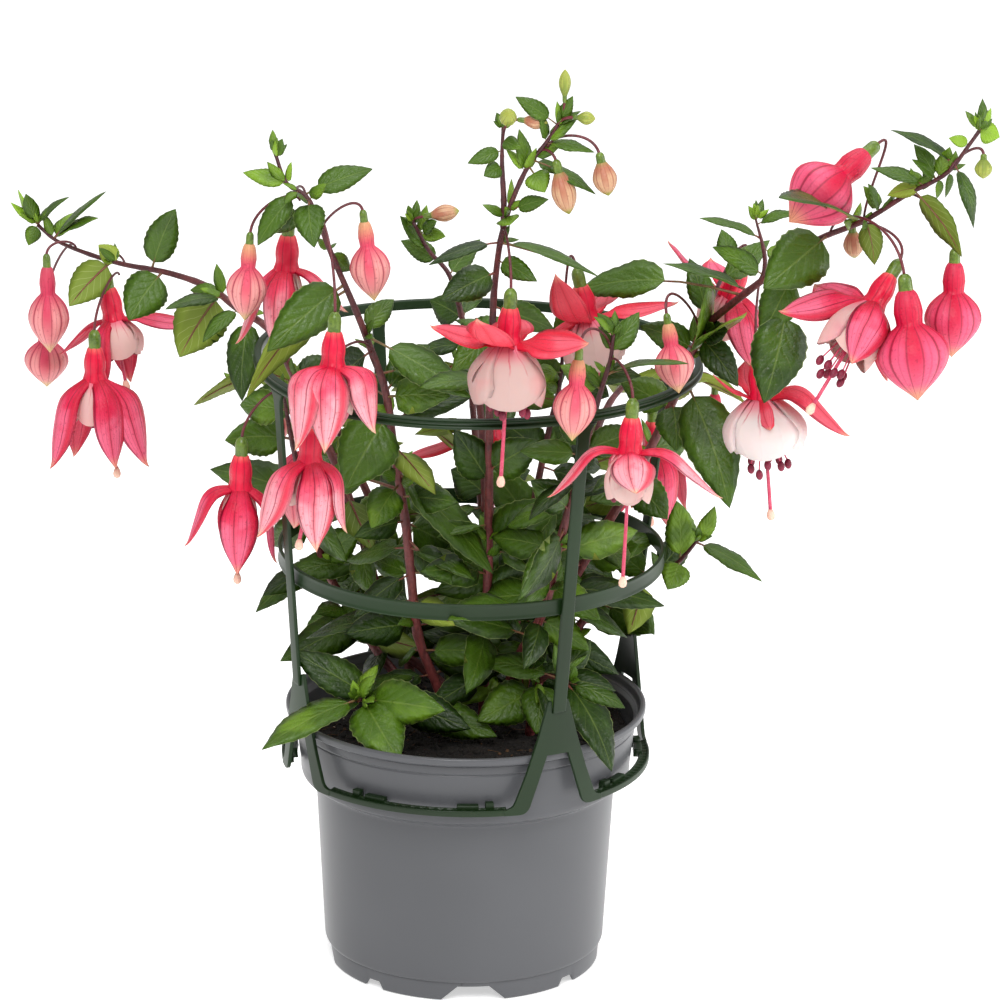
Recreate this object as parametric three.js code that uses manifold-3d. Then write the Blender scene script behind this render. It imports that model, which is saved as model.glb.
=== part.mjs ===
// A double-flowered fuchsia in a nursery pot, its shoots held up by a clip-on support cage.
// Millimetres, +Z up. The origin is on the pot's axis, on the surface that the pot stands on,
// and the front of the plant faces -Y.
import * as THREE from 'three';
import { mergeVertices } from 'three/addons/utils/BufferGeometryUtils.js';
import Module from 'manifold-3d';

const wasm = await Module();
wasm.setup();

// ---------------------------------------------------------------- driving dimensions
const GAP = 0.3; // air between pieces that rest on each other

const POT = {
  height: 142, rimRadius: 95, lipDepth: 4.5, collarTop: 90, collarFoot: 87, collarFootZ: 106,
  shoulderZ: 98, bodyTop: 79, bodyFoot: 74, footZ: 11, footRadius: 72, wall: 1.6,
  floorZ: 7.4, notchCount: 4, notchTurn: 4.6, sides: 36,
  notch: { top: 16, foot: 34, z: 8 }, dent: { top: 7, foot: 12, z: 4 },
};
const COMPOST = { rimZ: 125, crownZ: 129, planting: 16, stemRoom: 1, sides: 30 };
const CAGE = {
  angles: [29.5, 116, 205, 297], // of the four uprights, in degrees from the front towards +X
  footRadius: 96.6, thick: 2, footArc: 29,
  ringZ: 111.5, ringHeight: 3.2, ringOuter: 97.3, ringInner: 91.8,
  pegs: 22.5, pads: 15.5, tabShift: 2.5, // degrees from the middle between two feet
  plateTop: 171, slotZ: 165, stripWidth: 7.2, leanFrom: 97.8, leanTo: [118.5, 118.5, 118.5, 108.8], stripTop: 323.6,
  hoopZ: 219, hoopHeight: 8.5, hoopOuter: 103.2, hoopInner: 101.2, hoopPush: 4.5,
  topZ: 324.4, topHeight: 5, topOuter: 121.2, topInner: 117, topPush: 11,
  pushAngle: -75, pushHalf: 65, // the hoops are pressed in on the left, over this many degrees each way
  sides: 36,
};
const STEM = { foot: 2.4, tip: 0.8, sides: 5 };
const PEDICEL = { radius: 0.8, sides: 3, steps: 4 };
const SMALLEST_LEAF = 13; // width of the smallest leaf that is given a solid of its own
const LEAF_THICKNESS = 0.9;

// ---------------------------------------------------------------- colours
const finish = (color, roughness, metalness = 0) =>
  new THREE.MeshStandardMaterial({ color, roughness, metalness });
const MATERIAL = {
  pot: finish('#77797c', 0.42),
  compost: finish('#231a14', 1),
  cage: finish('#34472f', 0.5),
  foliage: finish('#3f6a2a', 0.6),
  flower: finish('#ee3f63', 0.55),
  bud: finish('#ee8a92', 0.55),
  youngBud: finish('#c5c065', 0.55),
};

// ---------------------------------------------------------------- solids and meshes
const up = new THREE.Vector3(0, 0, 1);
const vec = ([x, y, z]) => new THREE.Vector3(x, y, z);
const radians = THREE.MathUtils.degToRad;

function toSolid(geometry) {
  const bare = geometry.clone();
  bare.deleteAttribute('normal');
  bare.deleteAttribute('uv');
  const merged = mergeVertices(bare, 1e-4);
  return new wasm.Manifold(new wasm.Mesh({
    numProp: 3,
    vertProperties: new Float32Array(merged.attributes.position.array),
    triVerts: new Uint32Array(merged.index.array),
  }));
}

function toGeometry(solid) {
  const mesh = solid.getMesh();
  const geometry = new THREE.BufferGeometry();
  geometry.setAttribute('position', new THREE.BufferAttribute(new Float32Array(mesh.vertProperties), 3));
  geometry.setIndex(new THREE.BufferAttribute(new Uint32Array(mesh.triVerts), 1));
  geometry.computeVertexNormals();
  return geometry;
}

const joined = (solids) => solids.reduce((whole, solid) => whole.add(solid));

const plant = new THREE.Group();
function addPiece(name, solid, material) {
  const mesh = new THREE.Mesh(toGeometry(solid), material);
  mesh.name = name;
  plant.add(mesh);
}

/** A closed solid through rings of points that all have the same count, each ring running the same way round. */
function loft(rings) {
  const sides = rings[0].length;
  const points = rings.flat();
  const faces = [];
  for (let r = 0; r + 1 < rings.length; r++) {
    for (let s = 0; s < sides; s++) {
      const a = r * sides + s;
      const b = r * sides + ((s + 1) % sides);
      faces.push(a, b, b + sides, a, b + sides, a + sides);
    }
  }
  const last = (rings.length - 1) * sides;
  for (let s = 1; s + 1 < sides; s++) {
    faces.push(0, s + 1, s, last, last + s, last + s + 1);
  }
  const geometry = new THREE.BufferGeometry();
  geometry.setAttribute('position', new THREE.Float32BufferAttribute(points.flatMap((p) => p.toArray()), 3));
  geometry.setIndex(faces);
  return toSolid(geometry);
}

/** A tube with a radius for each fraction of the curve, closed at both ends. */
function tube(curve, radiusAt, steps, sides) {
  const frames = curve.computeFrenetFrames(steps);
  const rings = Array.from({ length: steps + 1 }, (_, i) => {
    const centre = curve.getPointAt(i / steps);
    const radius = radiusAt(i / steps);
    return Array.from({ length: sides }, (_, s) => {
      const turn = (2 * Math.PI * s) / sides;
      return centre.clone()
        .addScaledVector(frames.normals[i], radius * Math.cos(turn))
        .addScaledVector(frames.binormals[i], radius * Math.sin(turn));
    });
  });
  return loft(rings);
}

/** A blade with a lens-shaped section: rows of {centre, side, normal, half, thick, fold}. */
function blade(rows) {
  return loft(rows.map(({ centre, side, normal, half, thick, fold }) => [
    centre.clone().addScaledVector(side, half).addScaledVector(normal, fold),
    centre.clone().addScaledVector(normal, -thick / 2),
    centre.clone().addScaledVector(side, -half).addScaledVector(normal, fold),
    centre.clone().addScaledVector(normal, thick / 2),
  ]));
}

/** A blade that is flat inside and ridged outside: rows of {centre, side, normal, half, thick}. */
function ridged(rows) {
  return loft(rows.map(({ centre, side, normal, half, thick }) => [
    centre.clone().addScaledVector(side, -half),
    centre.clone().addScaledVector(side, half),
    centre.clone().addScaledVector(normal, thick),
  ]));
}

/** A solid of revolution about Z from [radius, z] pairs that start and end on the axis, or close on themselves. */
function revolved(profile, sides) {
  const lathe = new THREE.LatheGeometry(profile.map(([r, z]) => new THREE.Vector2(r, z)), sides);
  return toSolid(lathe.rotateX(Math.PI / 2));
}

const atAngle = (degrees, radius, z) =>
  new THREE.Vector3(radius * Math.sin(radians(degrees)), -radius * Math.cos(radians(degrees)), z);

// ---------------------------------------------------------------- pot
function potSolid() {
  const p = POT;
  const t = p.wall;
  const outside = [
    [0, p.floorZ], [p.footRadius - t - 0.6, p.floorZ], [p.footRadius - t, 0], [p.footRadius, 0],
    [p.footRadius + 0.6, p.footZ - 1], [p.bodyFoot, p.footZ], [p.bodyTop, p.shoulderZ],
    [p.collarFoot - 1, p.collarFootZ - 2], [p.collarFoot, p.collarFootZ],
    [p.collarTop, p.height - p.lipDepth], [p.rimRadius - 0.5, p.height - p.lipDepth],
    [p.rimRadius, p.height - 0.8], [p.rimRadius - 0.8, p.height],
  ];
  const inside = [
    [p.collarTop - 0.8, p.height], [p.collarTop - t - 0.5, p.height - 2.5],
    [p.collarFoot - t - 0.2, p.collarFootZ - 1.2], [p.bodyTop - t, p.shoulderZ],
    [p.bodyFoot - t, p.floorZ + t], [0, p.floorZ + t],
  ];
  let pot = revolved([...outside, ...inside], p.sides);
  for (let i = 0; i < 2 * p.notchCount; i++) {
    const { top, foot, z } = i % 2 ? p.dent : p.notch;
    const outline = new THREE.Shape([
      new THREE.Vector2(-foot / 2, -1), new THREE.Vector2(foot / 2, -1),
      new THREE.Vector2(top / 2, z), new THREE.Vector2(-top / 2, z),
    ]);
    const cutter = new THREE.ExtrudeGeometry(outline, { depth: 16, bevelEnabled: false, steps: 1 });
    cutter.rotateX(Math.PI / 2).translate(0, 16 - p.footRadius - 6, 0);
    cutter.rotateZ(radians(p.notchTurn + (180 / p.notchCount) * i));
    pot = pot.subtract(toSolid(cutter));
  }
  return pot;
}

// ---------------------------------------------------------------- support cage
/** A ring of rectangular section about the pot's axis, pressed in on the left by `push` at most. */
function hoop(inner, outer, z, height, push = 0) {
  const outline = [[inner, z], [outer, z], [outer, z + height], [inner, z + height], [inner, z]];
  const ring = new THREE.LatheGeometry(outline.map(([r, h]) => new THREE.Vector2(r, h)), CAGE.sides);
  const position = ring.rotateX(Math.PI / 2).attributes.position;
  for (let i = 0; i < position.count; i++) {
    const [x, y] = [position.getX(i), position.getY(i)];
    const away = radians(THREE.MathUtils.radToDeg(Math.atan2(x, -y)) - CAGE.pushAngle);
    const turn = Math.atan2(Math.sin(away), Math.cos(away)) * (90 / CAGE.pushHalf);
    const radius = Math.hypot(x, y);
    const share = 1 - (Math.abs(turn) < Math.PI / 2 ? (push * Math.cos(turn) ** 2) / radius : 0);
    position.setXY(i, x * share, y * share);
  }
  return toSolid(ring);
}

/** An outline in [distance round the ring, z] wrapped onto the cage's foot radius, as a plate. */
function wrappedPlate(outline, angle) {
  const { footRadius, thick } = CAGE;
  const shape = new THREE.Shape(outline.map(([x, z]) => new THREE.Vector2(x, z)));
  const plate = new THREE.ExtrudeGeometry(shape, { depth: thick, bevelEnabled: false, steps: 1 });
  const position = plate.attributes.position;
  for (let i = 0; i < position.count; i++) {
    const turn = angle + THREE.MathUtils.radToDeg(position.getX(i) / footRadius);
    const point = atAngle(turn, footRadius + position.getZ(i) - thick / 2, position.getY(i));
    position.setXYZ(i, point.x, point.y, point.z);
  }
  return toSolid(plate);
}

/** A wedge of the ring, from the axis outwards, as wide as the gap that a foot plate's two legs leave in it. */
function ringGap(angle) {
  const half = (CAGE.footArc - 2) / CAGE.footRadius;
  const reach = CAGE.ringOuter + 10;
  const outline = new THREE.Shape([
    new THREE.Vector2(0, 0), new THREE.Vector2(-reach * Math.sin(half), -reach * Math.cos(half)),
    new THREE.Vector2(reach * Math.sin(half), -reach * Math.cos(half)),
  ]);
  const wedge = new THREE.ExtrudeGeometry(outline, { depth: 3 * CAGE.ringHeight, bevelEnabled: false, steps: 1 });
  return toSolid(wedge.translate(0, 0, CAGE.ringZ - CAGE.ringHeight).rotateZ(radians(angle)));
}

/** A tab that reaches in from the ring towards the pot's collar. */
function gripTab(angle, width, height) {
  const inner = POT.collarFoot + 1.8;
  const outer = CAGE.ringInner + 1.6;
  const tab = new THREE.BoxGeometry(width, outer - inner, height);
  tab.translate(0, -(outer + inner) / 2, CAGE.ringZ + 0.6 + height / 2);
  return toSolid(tab.rotateZ(radians(angle)));
}

/** The base moulding: a ring round the pot whose four gaps are bridged by A-shaped foot plates, and the pegs and
 * pads that grip the pot between them. */
function cageBase() {
  const c = CAGE;
  const slot = c.stripWidth / 2 + GAP;
  const ringTop = c.ringZ + c.ringHeight;
  const rightHalf = [
    [slot, c.slotZ], [slot, c.plateTop], [slot + 1.8, c.plateTop], [11.5, 151], [17.5, 133], [23.2, 118.5],
    [25.4, 115.8], [c.footArc, ringTop], [c.footArc, c.ringZ], [20, c.ringZ], [17, 112.4], [15.4, 114.6], [6.1, 142],
  ];
  const leftHalf = rightHalf.map(([x, z]) => [-x, z]).reverse();
  const plates = c.angles.map((angle) => wrappedPlate([...rightHalf, ...leftHalf], angle));
  const ring = c.angles.map(ringGap)
    .reduce((rest, gap) => rest.subtract(gap), hoop(c.ringInner, c.ringOuter, c.ringZ, c.ringHeight));
  const tabs = c.angles.flatMap((angle, i) => {
    const next = i + 1 < c.angles.length ? c.angles[i + 1] : c.angles[0] + 360;
    const middle = (angle + next) / 2 + c.tabShift;
    return [-1, 1].flatMap((side) => [
      gripTab(middle + side * c.pegs, 4, 5.4), gripTab(middle + side * c.pads, 11, 4.2),
    ]);
  });
  return joined([ring, ...plates, ...tabs]);
}

/** A flat strip that stands in a plate's slot, leans outwards and widens under the top hoop. */
function uprightSolid(angle, leanTo) {
  const c = CAGE;
  const out = atAngle(angle, 1, 0);
  const across = atAngle(angle - 90, 1, 0);
  const rows = [[c.slotZ + GAP, 1], [c.stripTop - 8, 1], [c.stripTop - 3, 1.35], [c.stripTop, 2.1]];
  return loft(rows.map(([z, widen]) => {
    const share = (z - c.slotZ) / (c.stripTop - c.slotZ);
    const centre = out.clone().multiplyScalar(THREE.MathUtils.lerp(c.leanFrom, leanTo, share)).setZ(z);
    const half = (c.stripWidth / 2) * widen;
    return [[-1, -1], [1, -1], [1, 1], [-1, 1]].map(([a, b]) =>
      centre.clone().addScaledVector(across, a * half).addScaledVector(out, (b * c.thick) / 2));
  }));
}

// ---------------------------------------------------------------- shoots
// Each shoot: the points that it grows through, from the compost to its tip, its side shoots,
// and its leaves as [fraction of the shoot, tip x, y, z, width, petiole as a share of the length].
const SHOOTS = {
  shoot_left_front: {
    path: [[-7, 0, 128], [-14, -2, 147], [-25, -8, 178], [-29, -14, 213], [-32, -20, 245], [-38, -30, 288],
      [-42, -42, 321], [-49, -54, 346], [-57, -68, 372], [-69, -82, 405], [-74, -84, 419], [-81, -82, 433],
      [-91, -76, 438], [-97, -72, 453]],
    leaves: [[0.31, -7, -43, 219, 16, 0.27], [0.4, -49, -50, 251, 17, 0.18], [0.52, -62, -58, 274, 32, 0.13],
      [0.42, 14, -37, 223, 18, 0.1], [0.67, 1, -69, 333, 17, 0.28], [0.77, -100, -94, 356, 24, 0.1],
      [0.76, -111, -84, 329, 18, 0.12], [0.91, -76, -104, 412, 16, 0.11], [0.93, -105, -85, 408, 13, 0.16],
      [0.92, -48, -77, 446, 13, 0.2], [0.17, -85, 10, 171, 14, 0.12], [0.39, -72, 1, 267, 21, 0.48],
      [0.25, -50, 11, 215, 13, 0.1], [0.56, -20, -17, 340, 18, 0.1], [0.64, -71, -24, 314, 16, 0.1]],
  },
  shoot_top_centre: {
    path: [[9, 2, 132], [10, -6, 177], [11, -18, 225], [11, -34, 273], [11, -56, 322], [12, -78, 364],
      [13, -92, 391], [17, -106, 424], [27, -112, 453], [38, -116, 470], [43, -117, 478]],
    sides: [[[17, -106, 424], [17, -108, 438], [16, -110, 456], [16, -112, 475]]],
    leaves: [[0.76, -14, -108, 387, 18, 0.1], [0.93, 37, -124, 446, 13, 0.32], [0.38, -7, -49, 304, 21, 0.1],
      [0.4, 37, -57, 301, 22, 0.1], [0.25, -14, -38, 252, 20, 0.1], [0.18, 41, -22, 226, 22, 0.1],
      [0.28, 48, -47, 266, 23, 0.1], [0.65, -8, -90, 346, 16, 0.1], [0.7, 43, -78, 365, 15, 0.1]],
  },
  shoot_front_right: {
    path: [[21, -2, 134], [25, -12, 164], [38, -30, 196], [43, -40, 216], [47, -50, 242], [52, -58, 265],
      [59, -70, 299], [67, -84, 336], [71, -94, 354], [72, -98, 368]],
    leaves: [[0.36, 69, -65, 208, 17, 0.1], [0.47, 28, -72, 226, 16, 0.1], [0.56, 32, -78, 286, 18, 0.1],
      [0.71, 87, -60, 308, 16, 0.1], [0.71, 47, -60, 323, 16, 0.1], [0.27, 64, -40, 183, 16, 0.1],
      [0.86, 46, -84, 348, 14, 0.1], [0.36, 103, -35, 206, 16, 0.22]],
  },
  shoot_right_reach: {
    path: [[24, 20, 132], [38, 26, 166], [62, 20, 213], [86, 4, 262], [103, -12, 304], [118, -34, 351],
      [129, -48, 368], [160, -80, 403], [173, -94, 417], [194, -108, 430], [214, -122, 447],
      [231, -134, 460], [240, -142, 475], [245, -146, 484]],
    sides: [[[129, -48, 368], [140, -46, 377], [148, -44, 384], [149, -44, 396], [144, -46, 415]],
      [[118, -34, 351], [124, -20, 366], [133, -8, 383]]],
    leaves: [[0.5, 134, -57, 266, 29, 0.1], [0.53, 137, -52, 329, 16, 0.1], [0.59, 146, -68, 360, 18, 0.1],
      [0.73, 145, -112, 396, 29, 0.1], [0.71, 147, -111, 337, 26, 0.1], [0.43, 107, -34, 289, 21, 0.1],
      [0.42, 78, 8, 315, 19, 0.1], [0.51, 87, -35, 356, 16, 0.1], [0.52, 57, -15, 376, 17, 0.3],
      [0.53, 131, -54, 359, 13, 0.1], [0.31, 63, -16, 257, 19, 0.1], [0.31, 104, -12, 246, 20, 0.1],
      [0.19, 90, 4, 227, 21, 0.1], [0.19, 49, 40, 223, 19, 0.1], [0.36, 116, 17, 281, 18, 0.1]],
  },
  shoot_far_left: {
    path: [[-4, 24, 131], [-8, 26, 137], [-25, 36, 148], [-44, 44, 159], [-50, 46, 193], [-58, 44, 222], [-71, 38, 261],
      [-89, 32, 302], [-104, 37, 331], [-124, 52, 341], [-138, 68, 347], [-161, 90, 349], [-187, 112, 348],
      [-207, 126, 350], [-226, 140, 354], [-238, 148, 363], [-246, 150, 372], [-249, 151, 378]],
    leaves: [[0.76, -157, 87, 385, 18, 0.1], [0.74, -182, 77, 326, 24, 0.1], [0.83, -216, 105, 326, 21, 0.1],
      [0.66, -154, 55, 312, 29, 0.1], [0.58, -119, 27, 296, 18, 0.1], [0.55, -90, 52, 345, 16, 0.1],
      [0.48, -116, 48, 275, 21, 0.1], [0.48, -68, 48, 313, 19, 0.1], [0.37, -90, 58, 244, 19, 0.1],
      [0.28, -37, 64, 232, 18, 0.1], [0.21, -74, 62, 176, 19, 0.1]],
  },
  shoot_left_low: {
    path: [[-24, 12, 131], [-28, 16, 139], [-45, 30, 154], [-62, 50, 173], [-76, 50, 198], [-86, 30, 242], [-92, 4, 282],
      [-95, -22, 314]],
    leaves: [[0.63, -137, 40, 255, 21, 0.1], [0.83, -126, -12, 286, 21, 0.1], [0.94, -119, 3, 301, 19, 0.1],
      [0.43, -113, 38, 176, 14, 0.1], [0.36, -91, 70, 196, 19, 0.1], [0.43, -57, 30, 225, 19, 0.1],
      [0.54, -106, 59, 207, 18, 0.1], [0.3, -90, 60, 148, 17, 0.1], [0.83, -73, 24, 287, 18, 0.1]],
  },
  shoot_back_left: {
    path: [[2, 42, 131], [7, 56, 179], [9, 62, 233], [5, 62, 289], [-4, 58, 333], [-11, 52, 359],
      [-22, 46, 374], [-30, 42, 390]],
    leaves: [[0.76, -22, 78, 339, 18, 0.1], [0.7, 21, 80, 328, 19, 0.1], [0.6, -16, 78, 295, 21, 0.1],
      [0.54, 27, 84, 283, 21, 0.1], [0.39, -10, 82, 244, 22, 0.1], [0.39, 33, 86, 243, 22, 0.1],
      [0.28, -15, 82, 193, 21, 0.1], [0.2, 33, 80, 188, 21, 0.1], [0.1, -20, 68, 163, 19, 0.1]],
  },
  shoot_base_right: {
    path: [[34, -14, 130], [36, -22, 152], [42, -32, 166], [54, -42, 166]],
    leaves: [[0.61, 37, -47, 139, 21, 0.1], [0.94, 76, -78, 130, 18, 0.1], [0.48, 6, -39, 143, 24, 0.1],
      [0.86, 65, -25, 184, 14, 0.1]],
  },
  shoot_base_left: {
    path: [[-20, -8, 130], [-22, -11, 138], [-33, -26, 149], [-43, -40, 155], [-55, -52, 159]],
    leaves: [[1, -98, -84, 150, 13, 0.1], [0.91, -10, -76, 162, 19, 0.1], [0.96, -34, -82, 146, 26, 0.1],
      [0.85, -91, -39, 181, 17, 0.1], [0.26, 17, -37, 134, 20, 0.1], [0.58, 3, -48, 142, 21, 0.1]],
  },
  shoot_right_low: {
    path: [[38, 30, 130], [41, 33, 140], [55, 44, 162], [76, 40, 188], [98, 24, 205], [110, 10, 215], [120, -4, 232]],
    leaves: [[0.86, 109, 2, 252, 17, 0.1], [0.86, 105, -4, 205, 16, 0.1], [0.72, 118, 36, 226, 16, 0.1],
      [0.67, 70, 47, 213, 16, 0.1], [0.51, 100, 32, 168, 16, 0.1], [0.51, 55, 54, 197, 18, 0.1],
      [0.25, 71, 34, 142, 16, 0.1], [0.25, 39, 58, 173, 18, 0.1]],
  },
  shoot_centre: {
    path: [[16, 12, 130], [28, 10, 194], [35, 0, 252], [42, -12, 295], [47, -22, 322], [48, -24, 338]],
    leaves: [[0.25, 1, 24, 195, 21, 0.1], [0.25, 49, 26, 211, 21, 0.1], [0.5, 11, 10, 265, 22, 0.1],
      [0.5, 64, 10, 266, 21, 0.1], [0.7, 16, -10, 298, 20, 0.1], [0.7, 68, 0, 301, 19, 0.1],
      [0.89, 31, -26, 340, 18, 0.1], [1, 87, -14, 350, 18, 0.1]],
  },
  shoot_rear_left: {
    path: [[-30, 52, 130], [-38, 66, 190], [-60, 74, 245], [-80, 84, 280], [-105, 108, 290], [-128, 128, 278]],
    leaves: [[0.3, -70, 92, 200, 20, 0.1], [0.3, -20, 100, 215, 20, 0.1], [0.55, -92, 64, 262, 20, 0.1],
      [0.55, -60, 116, 262, 22, 0.1], [0.75, -118, 82, 300, 20, 0.1], [0.75, -88, 140, 268, 22, 0.1],
      [0.92, -150, 110, 270, 20, 0.1], [0.96, -136, 162, 262, 20, 0.1]],
  },
  shoot_rear_centre: {
    path: [[14, 58, 130], [10, 76, 190], [4, 92, 250], [0, 108, 284], [-4, 132, 292], [-6, 152, 284]],
    leaves: [[0.3, -28, 104, 196, 20, 0.1], [0.3, 44, 106, 205, 20, 0.1], [0.5, 36, 112, 230, 22, 0.1],
      [0.55, -34, 124, 262, 22, 0.1], [0.78, -44, 150, 268, 21, 0.1], [0.78, 34, 142, 306, 21, 0.1],
      [0.97, -34, 158, 262, 20, 0.1], [0.99, 22, 162, 270, 20, 0.1]],
  },
  shoot_rear_right: {
    path: [[30, 44, 130], [45, 66, 190], [62, 80, 245], [76, 94, 280], [98, 118, 290], [118, 138, 280]],
    leaves: [[0.3, 86, 66, 200, 20, 0.1], [0.3, 34, 106, 200, 20, 0.1], [0.55, 98, 70, 260, 21, 0.1],
      [0.55, 52, 122, 264, 20, 0.1], [0.76, 128, 92, 292, 20, 0.1], [0.76, 78, 146, 270, 21, 0.1],
      [0.95, 152, 136, 266, 20, 0.1], [0.95, 112, 170, 258, 20, 0.1]],
  },
};

const stemSteps = (points) => points.length + 4;

/** A tapering stem along its points. scale is its thickness beside a main shoot's. */
function stemSolid(points, scale = 1) {
  const curve = new THREE.CatmullRomCurve3(points.map(vec));
  const radius = (share) => scale * THREE.MathUtils.lerp(STEM.foot, STEM.tip, share ** 0.8);
  return tube(curve, radius, stemSteps(points), STEM.sides);
}

/** The shoot's points, with one more in the compost. */
function plantedPath([first, ...rest]) {
  return [[first[0], first[1], COMPOST.rimZ - COMPOST.planting], first, ...rest];
}

/** The middle of the stem at a fraction of its length above the compost. */
function pointOnStem(path, share) {
  const points = plantedPath(path);
  const curve = new THREE.CatmullRomCurve3(points.map(vec));
  const buried = (path[0][2] - points[0][2]) / curve.getLength();
  const step = (buried + share * (1 - buried)) * stemSteps(points);
  const before = Math.min(Math.floor(step), stemSteps(points) - 1);
  const start = curve.getPointAt(before / stemSteps(points));
  return start.lerp(curve.getPointAt((before + 1) / stemSteps(points)), step - before);
}

/** A leaf on a petiole from `from` to `tip`: an arching midrib, its two halves folded up from it. */
function leafSolid(from, tip, width, petiole, room = 0) {
  const span = tip.clone().sub(from);
  const length = span.length();
  const middle = from.clone().add(tip).multiplyScalar(0.5);
  const outward = new THREE.Vector3(middle.x, middle.y, 0).normalize();
  const facing = up.clone().multiplyScalar(0.6).addScaledVector(outward, 0.8);
  const lift = facing.clone().addScaledVector(span, -facing.dot(span) / (length * length)).normalize();
  const rib = new THREE.QuadraticBezierCurve3(from, middle.addScaledVector(lift, 0.16 * length), tip);
  const stations = [[0, 0.06], [petiole, 0.06], [petiole + 0.36 * (1 - petiole), 1],
    [petiole + 0.7 * (1 - petiole), 0.82], [1, 0.03]];
  return blade(stations.map(([share, fullness]) => {
    const along = rib.getTangent(share);
    const side = new THREE.Vector3().crossVectors(along, lift).normalize();
    const normal = new THREE.Vector3().crossVectors(side, along).normalize();
    const half = (fullness * width) / 2 + room;
    const thick = (fullness > 0.1 ? LEAF_THICKNESS : 1) + 2 * room;
    return { centre: rib.getPoint(share), side, normal, half, thick, fold: 0.22 * fullness * width * 0.5 };
  }));
}

// ---------------------------------------------------------------- flowers
// Each flower: where its pedicel leaves the shoot, the top of its ovary, a point further down its
// tube, the radius and length of its petal bell, how far the style hangs below the ovary, and its
// four sepals as [azimuth from the front, angle from the axis at the base, and at the tip].
const DROOPING = [[-75, 72, 2], [15, 55, -6], [105, 72, 2], [195, 60, 0]];
const FLOWERS = {
  flower_left_outer: { from: [-189, 108, 343], at: [-203, 110, 312], to: [-203, 110, 281],
    bell: [12, 26], style: 82, sepals: [[-75, 72, 0], [20, 48, 0], [105, 74, 4], [195, 30, -10]] },
  flower_left_inner: { from: [-186, 112, 347], at: [-195, 140, 336], to: [-191, 142, 308],
    bell: [14, 27], style: 62, sepals: [[-100, 80, 50], [-45, 50, -24], [80, 84, 62], [175, 76, -4]] },
  flower_left_high: { from: [-81, -82, 432], at: [-91, -50, 415], to: [-92, -50, 391],
    bell: [9, 24], style: 40, sepals: [[-105, 45, -5], [-10, 40, -8], [84, 60, 20], [180, 40, 0]] },
  flower_left_front: { from: [-74, -86, 419], at: [-65, -128, 386], to: [-66, -130, 359],
    bell: [11, 25], style: 66, sepals: [[-75, 72, 2], [15, 55, -6], [105, 72, 2], [195, 42, -12]] },
  flower_left_mid: { from: [-49, -56, 346], at: [-77, -106, 331], to: [-78, -108, 305],
    bell: [11, 25], style: 72, sepals: [[-70, 70, 0], [22, 52, -4], [112, 62, 0], [205, 60, 0]] },
  flower_left_low: { from: [-95, -24, 315], at: [-116, -32, 294], to: [-117, -32, 266],
    bell: [9, 25], style: 78, sepals: [[-80, 76, 10], [12, 44, -8], [100, 48, 2], [190, 40, 0]] },
  flower_centre: { from: [17, -107, 422], at: [21, -128, 399], to: [20, -128, 368],
    bell: [20, 34], style: 100, sepals: [[-85, 86, 100], [-20, 94, 150], [82, 88, 98], [170, 88, 104]] },
  flower_centre_back: { from: [48, -24, 337], at: [61, -46, 390], to: [59, -44, 363],
    bell: [17, 28], style: 70, sepals: [[-20, 100, 150], [75, 92, 90], [165, 88, 90], [-100, 80, 60]] },
  flower_right_front: { from: [71, -94, 353], at: [82, -114, 340], to: [81, -116, 311],
    bell: [12, 29], style: 96, sepals: [[-85, 88, 28], [5, 70, 30], [82, 90, 32], [180, 80, 50]] },
  flower_right_top: { from: [191, -106, 429], at: [196, -112, 468], to: [177, -122, 453],
    bell: [15, 32], style: 40, sepals: [[-80, 66, -22], [10, 66, -22], [100, 66, -22], [190, 66, -22]] },
  flower_right_back: { from: [133, -8, 383], at: [142, 0, 382], to: [135, 4, 357],
    bell: [14, 23], style: 50, sepals: [[-80, 100, 140], [20, 80, 60], [100, 90, 100], [190, 90, 80]] },
  flower_right_outer: { from: [185, -100, 423], at: [210, -124, 416], to: [196, -138, 394],
    bell: [14, 30], style: 84, sepals: [[-85, 76, 86], [-160, 80, 96], [-25, 40, 4], [125, 56, 30]] },
  flower_right_low: { from: [147, -46, 382], at: [145, -62, 354], to: [145, -62, 328],
    bell: [21, 34], style: 92, sepals: [[-80, 94, 118], [12, 88, 70], [95, 80, 44], [185, 90, 98]] },
  flower_rear_left: { from: [-80, 84, 280], at: [-84, 112, 272], to: [-84, 113, 245],
    bell: [12, 27], style: 66, sepals: DROOPING },
  flower_rear_centre: { from: [-4, 132, 292], at: [12, 130, 276], to: [12, 131, 249],
    bell: [18, 31], style: 84, sepals: [[-80, 88, 70], [10, 86, 60], [100, 88, 74], [190, 80, 40]] },
  flower_rear_right: { from: [98, 118, 290], at: [100, 132, 268], to: [100, 133, 241],
    bell: [12, 27], style: 70, sepals: [[-60, 74, 10], [30, 66, 0], [120, 74, 6], [210, 70, 2]] },
};
const FLOWER = { ovary: 2.9, ovaryLength: 10, tubeTop: 4.2, tubeFoot: 6, tubeEnd: 28, sepalLength: 46, sepalWidth: 19 };

/** Local -Z turned onto the axis, with the azimuths still measured from the front. */
function hang(solid, at, to) {
  const axis = to.clone().sub(at).normalize();
  const turn = new THREE.Quaternion().setFromUnitVectors(up.clone().negate(), axis);
  const matrix = new THREE.Matrix4().compose(at, turn, new THREE.Vector3(1, 1, 1));
  return solid.transform(matrix.elements);
}

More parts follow.
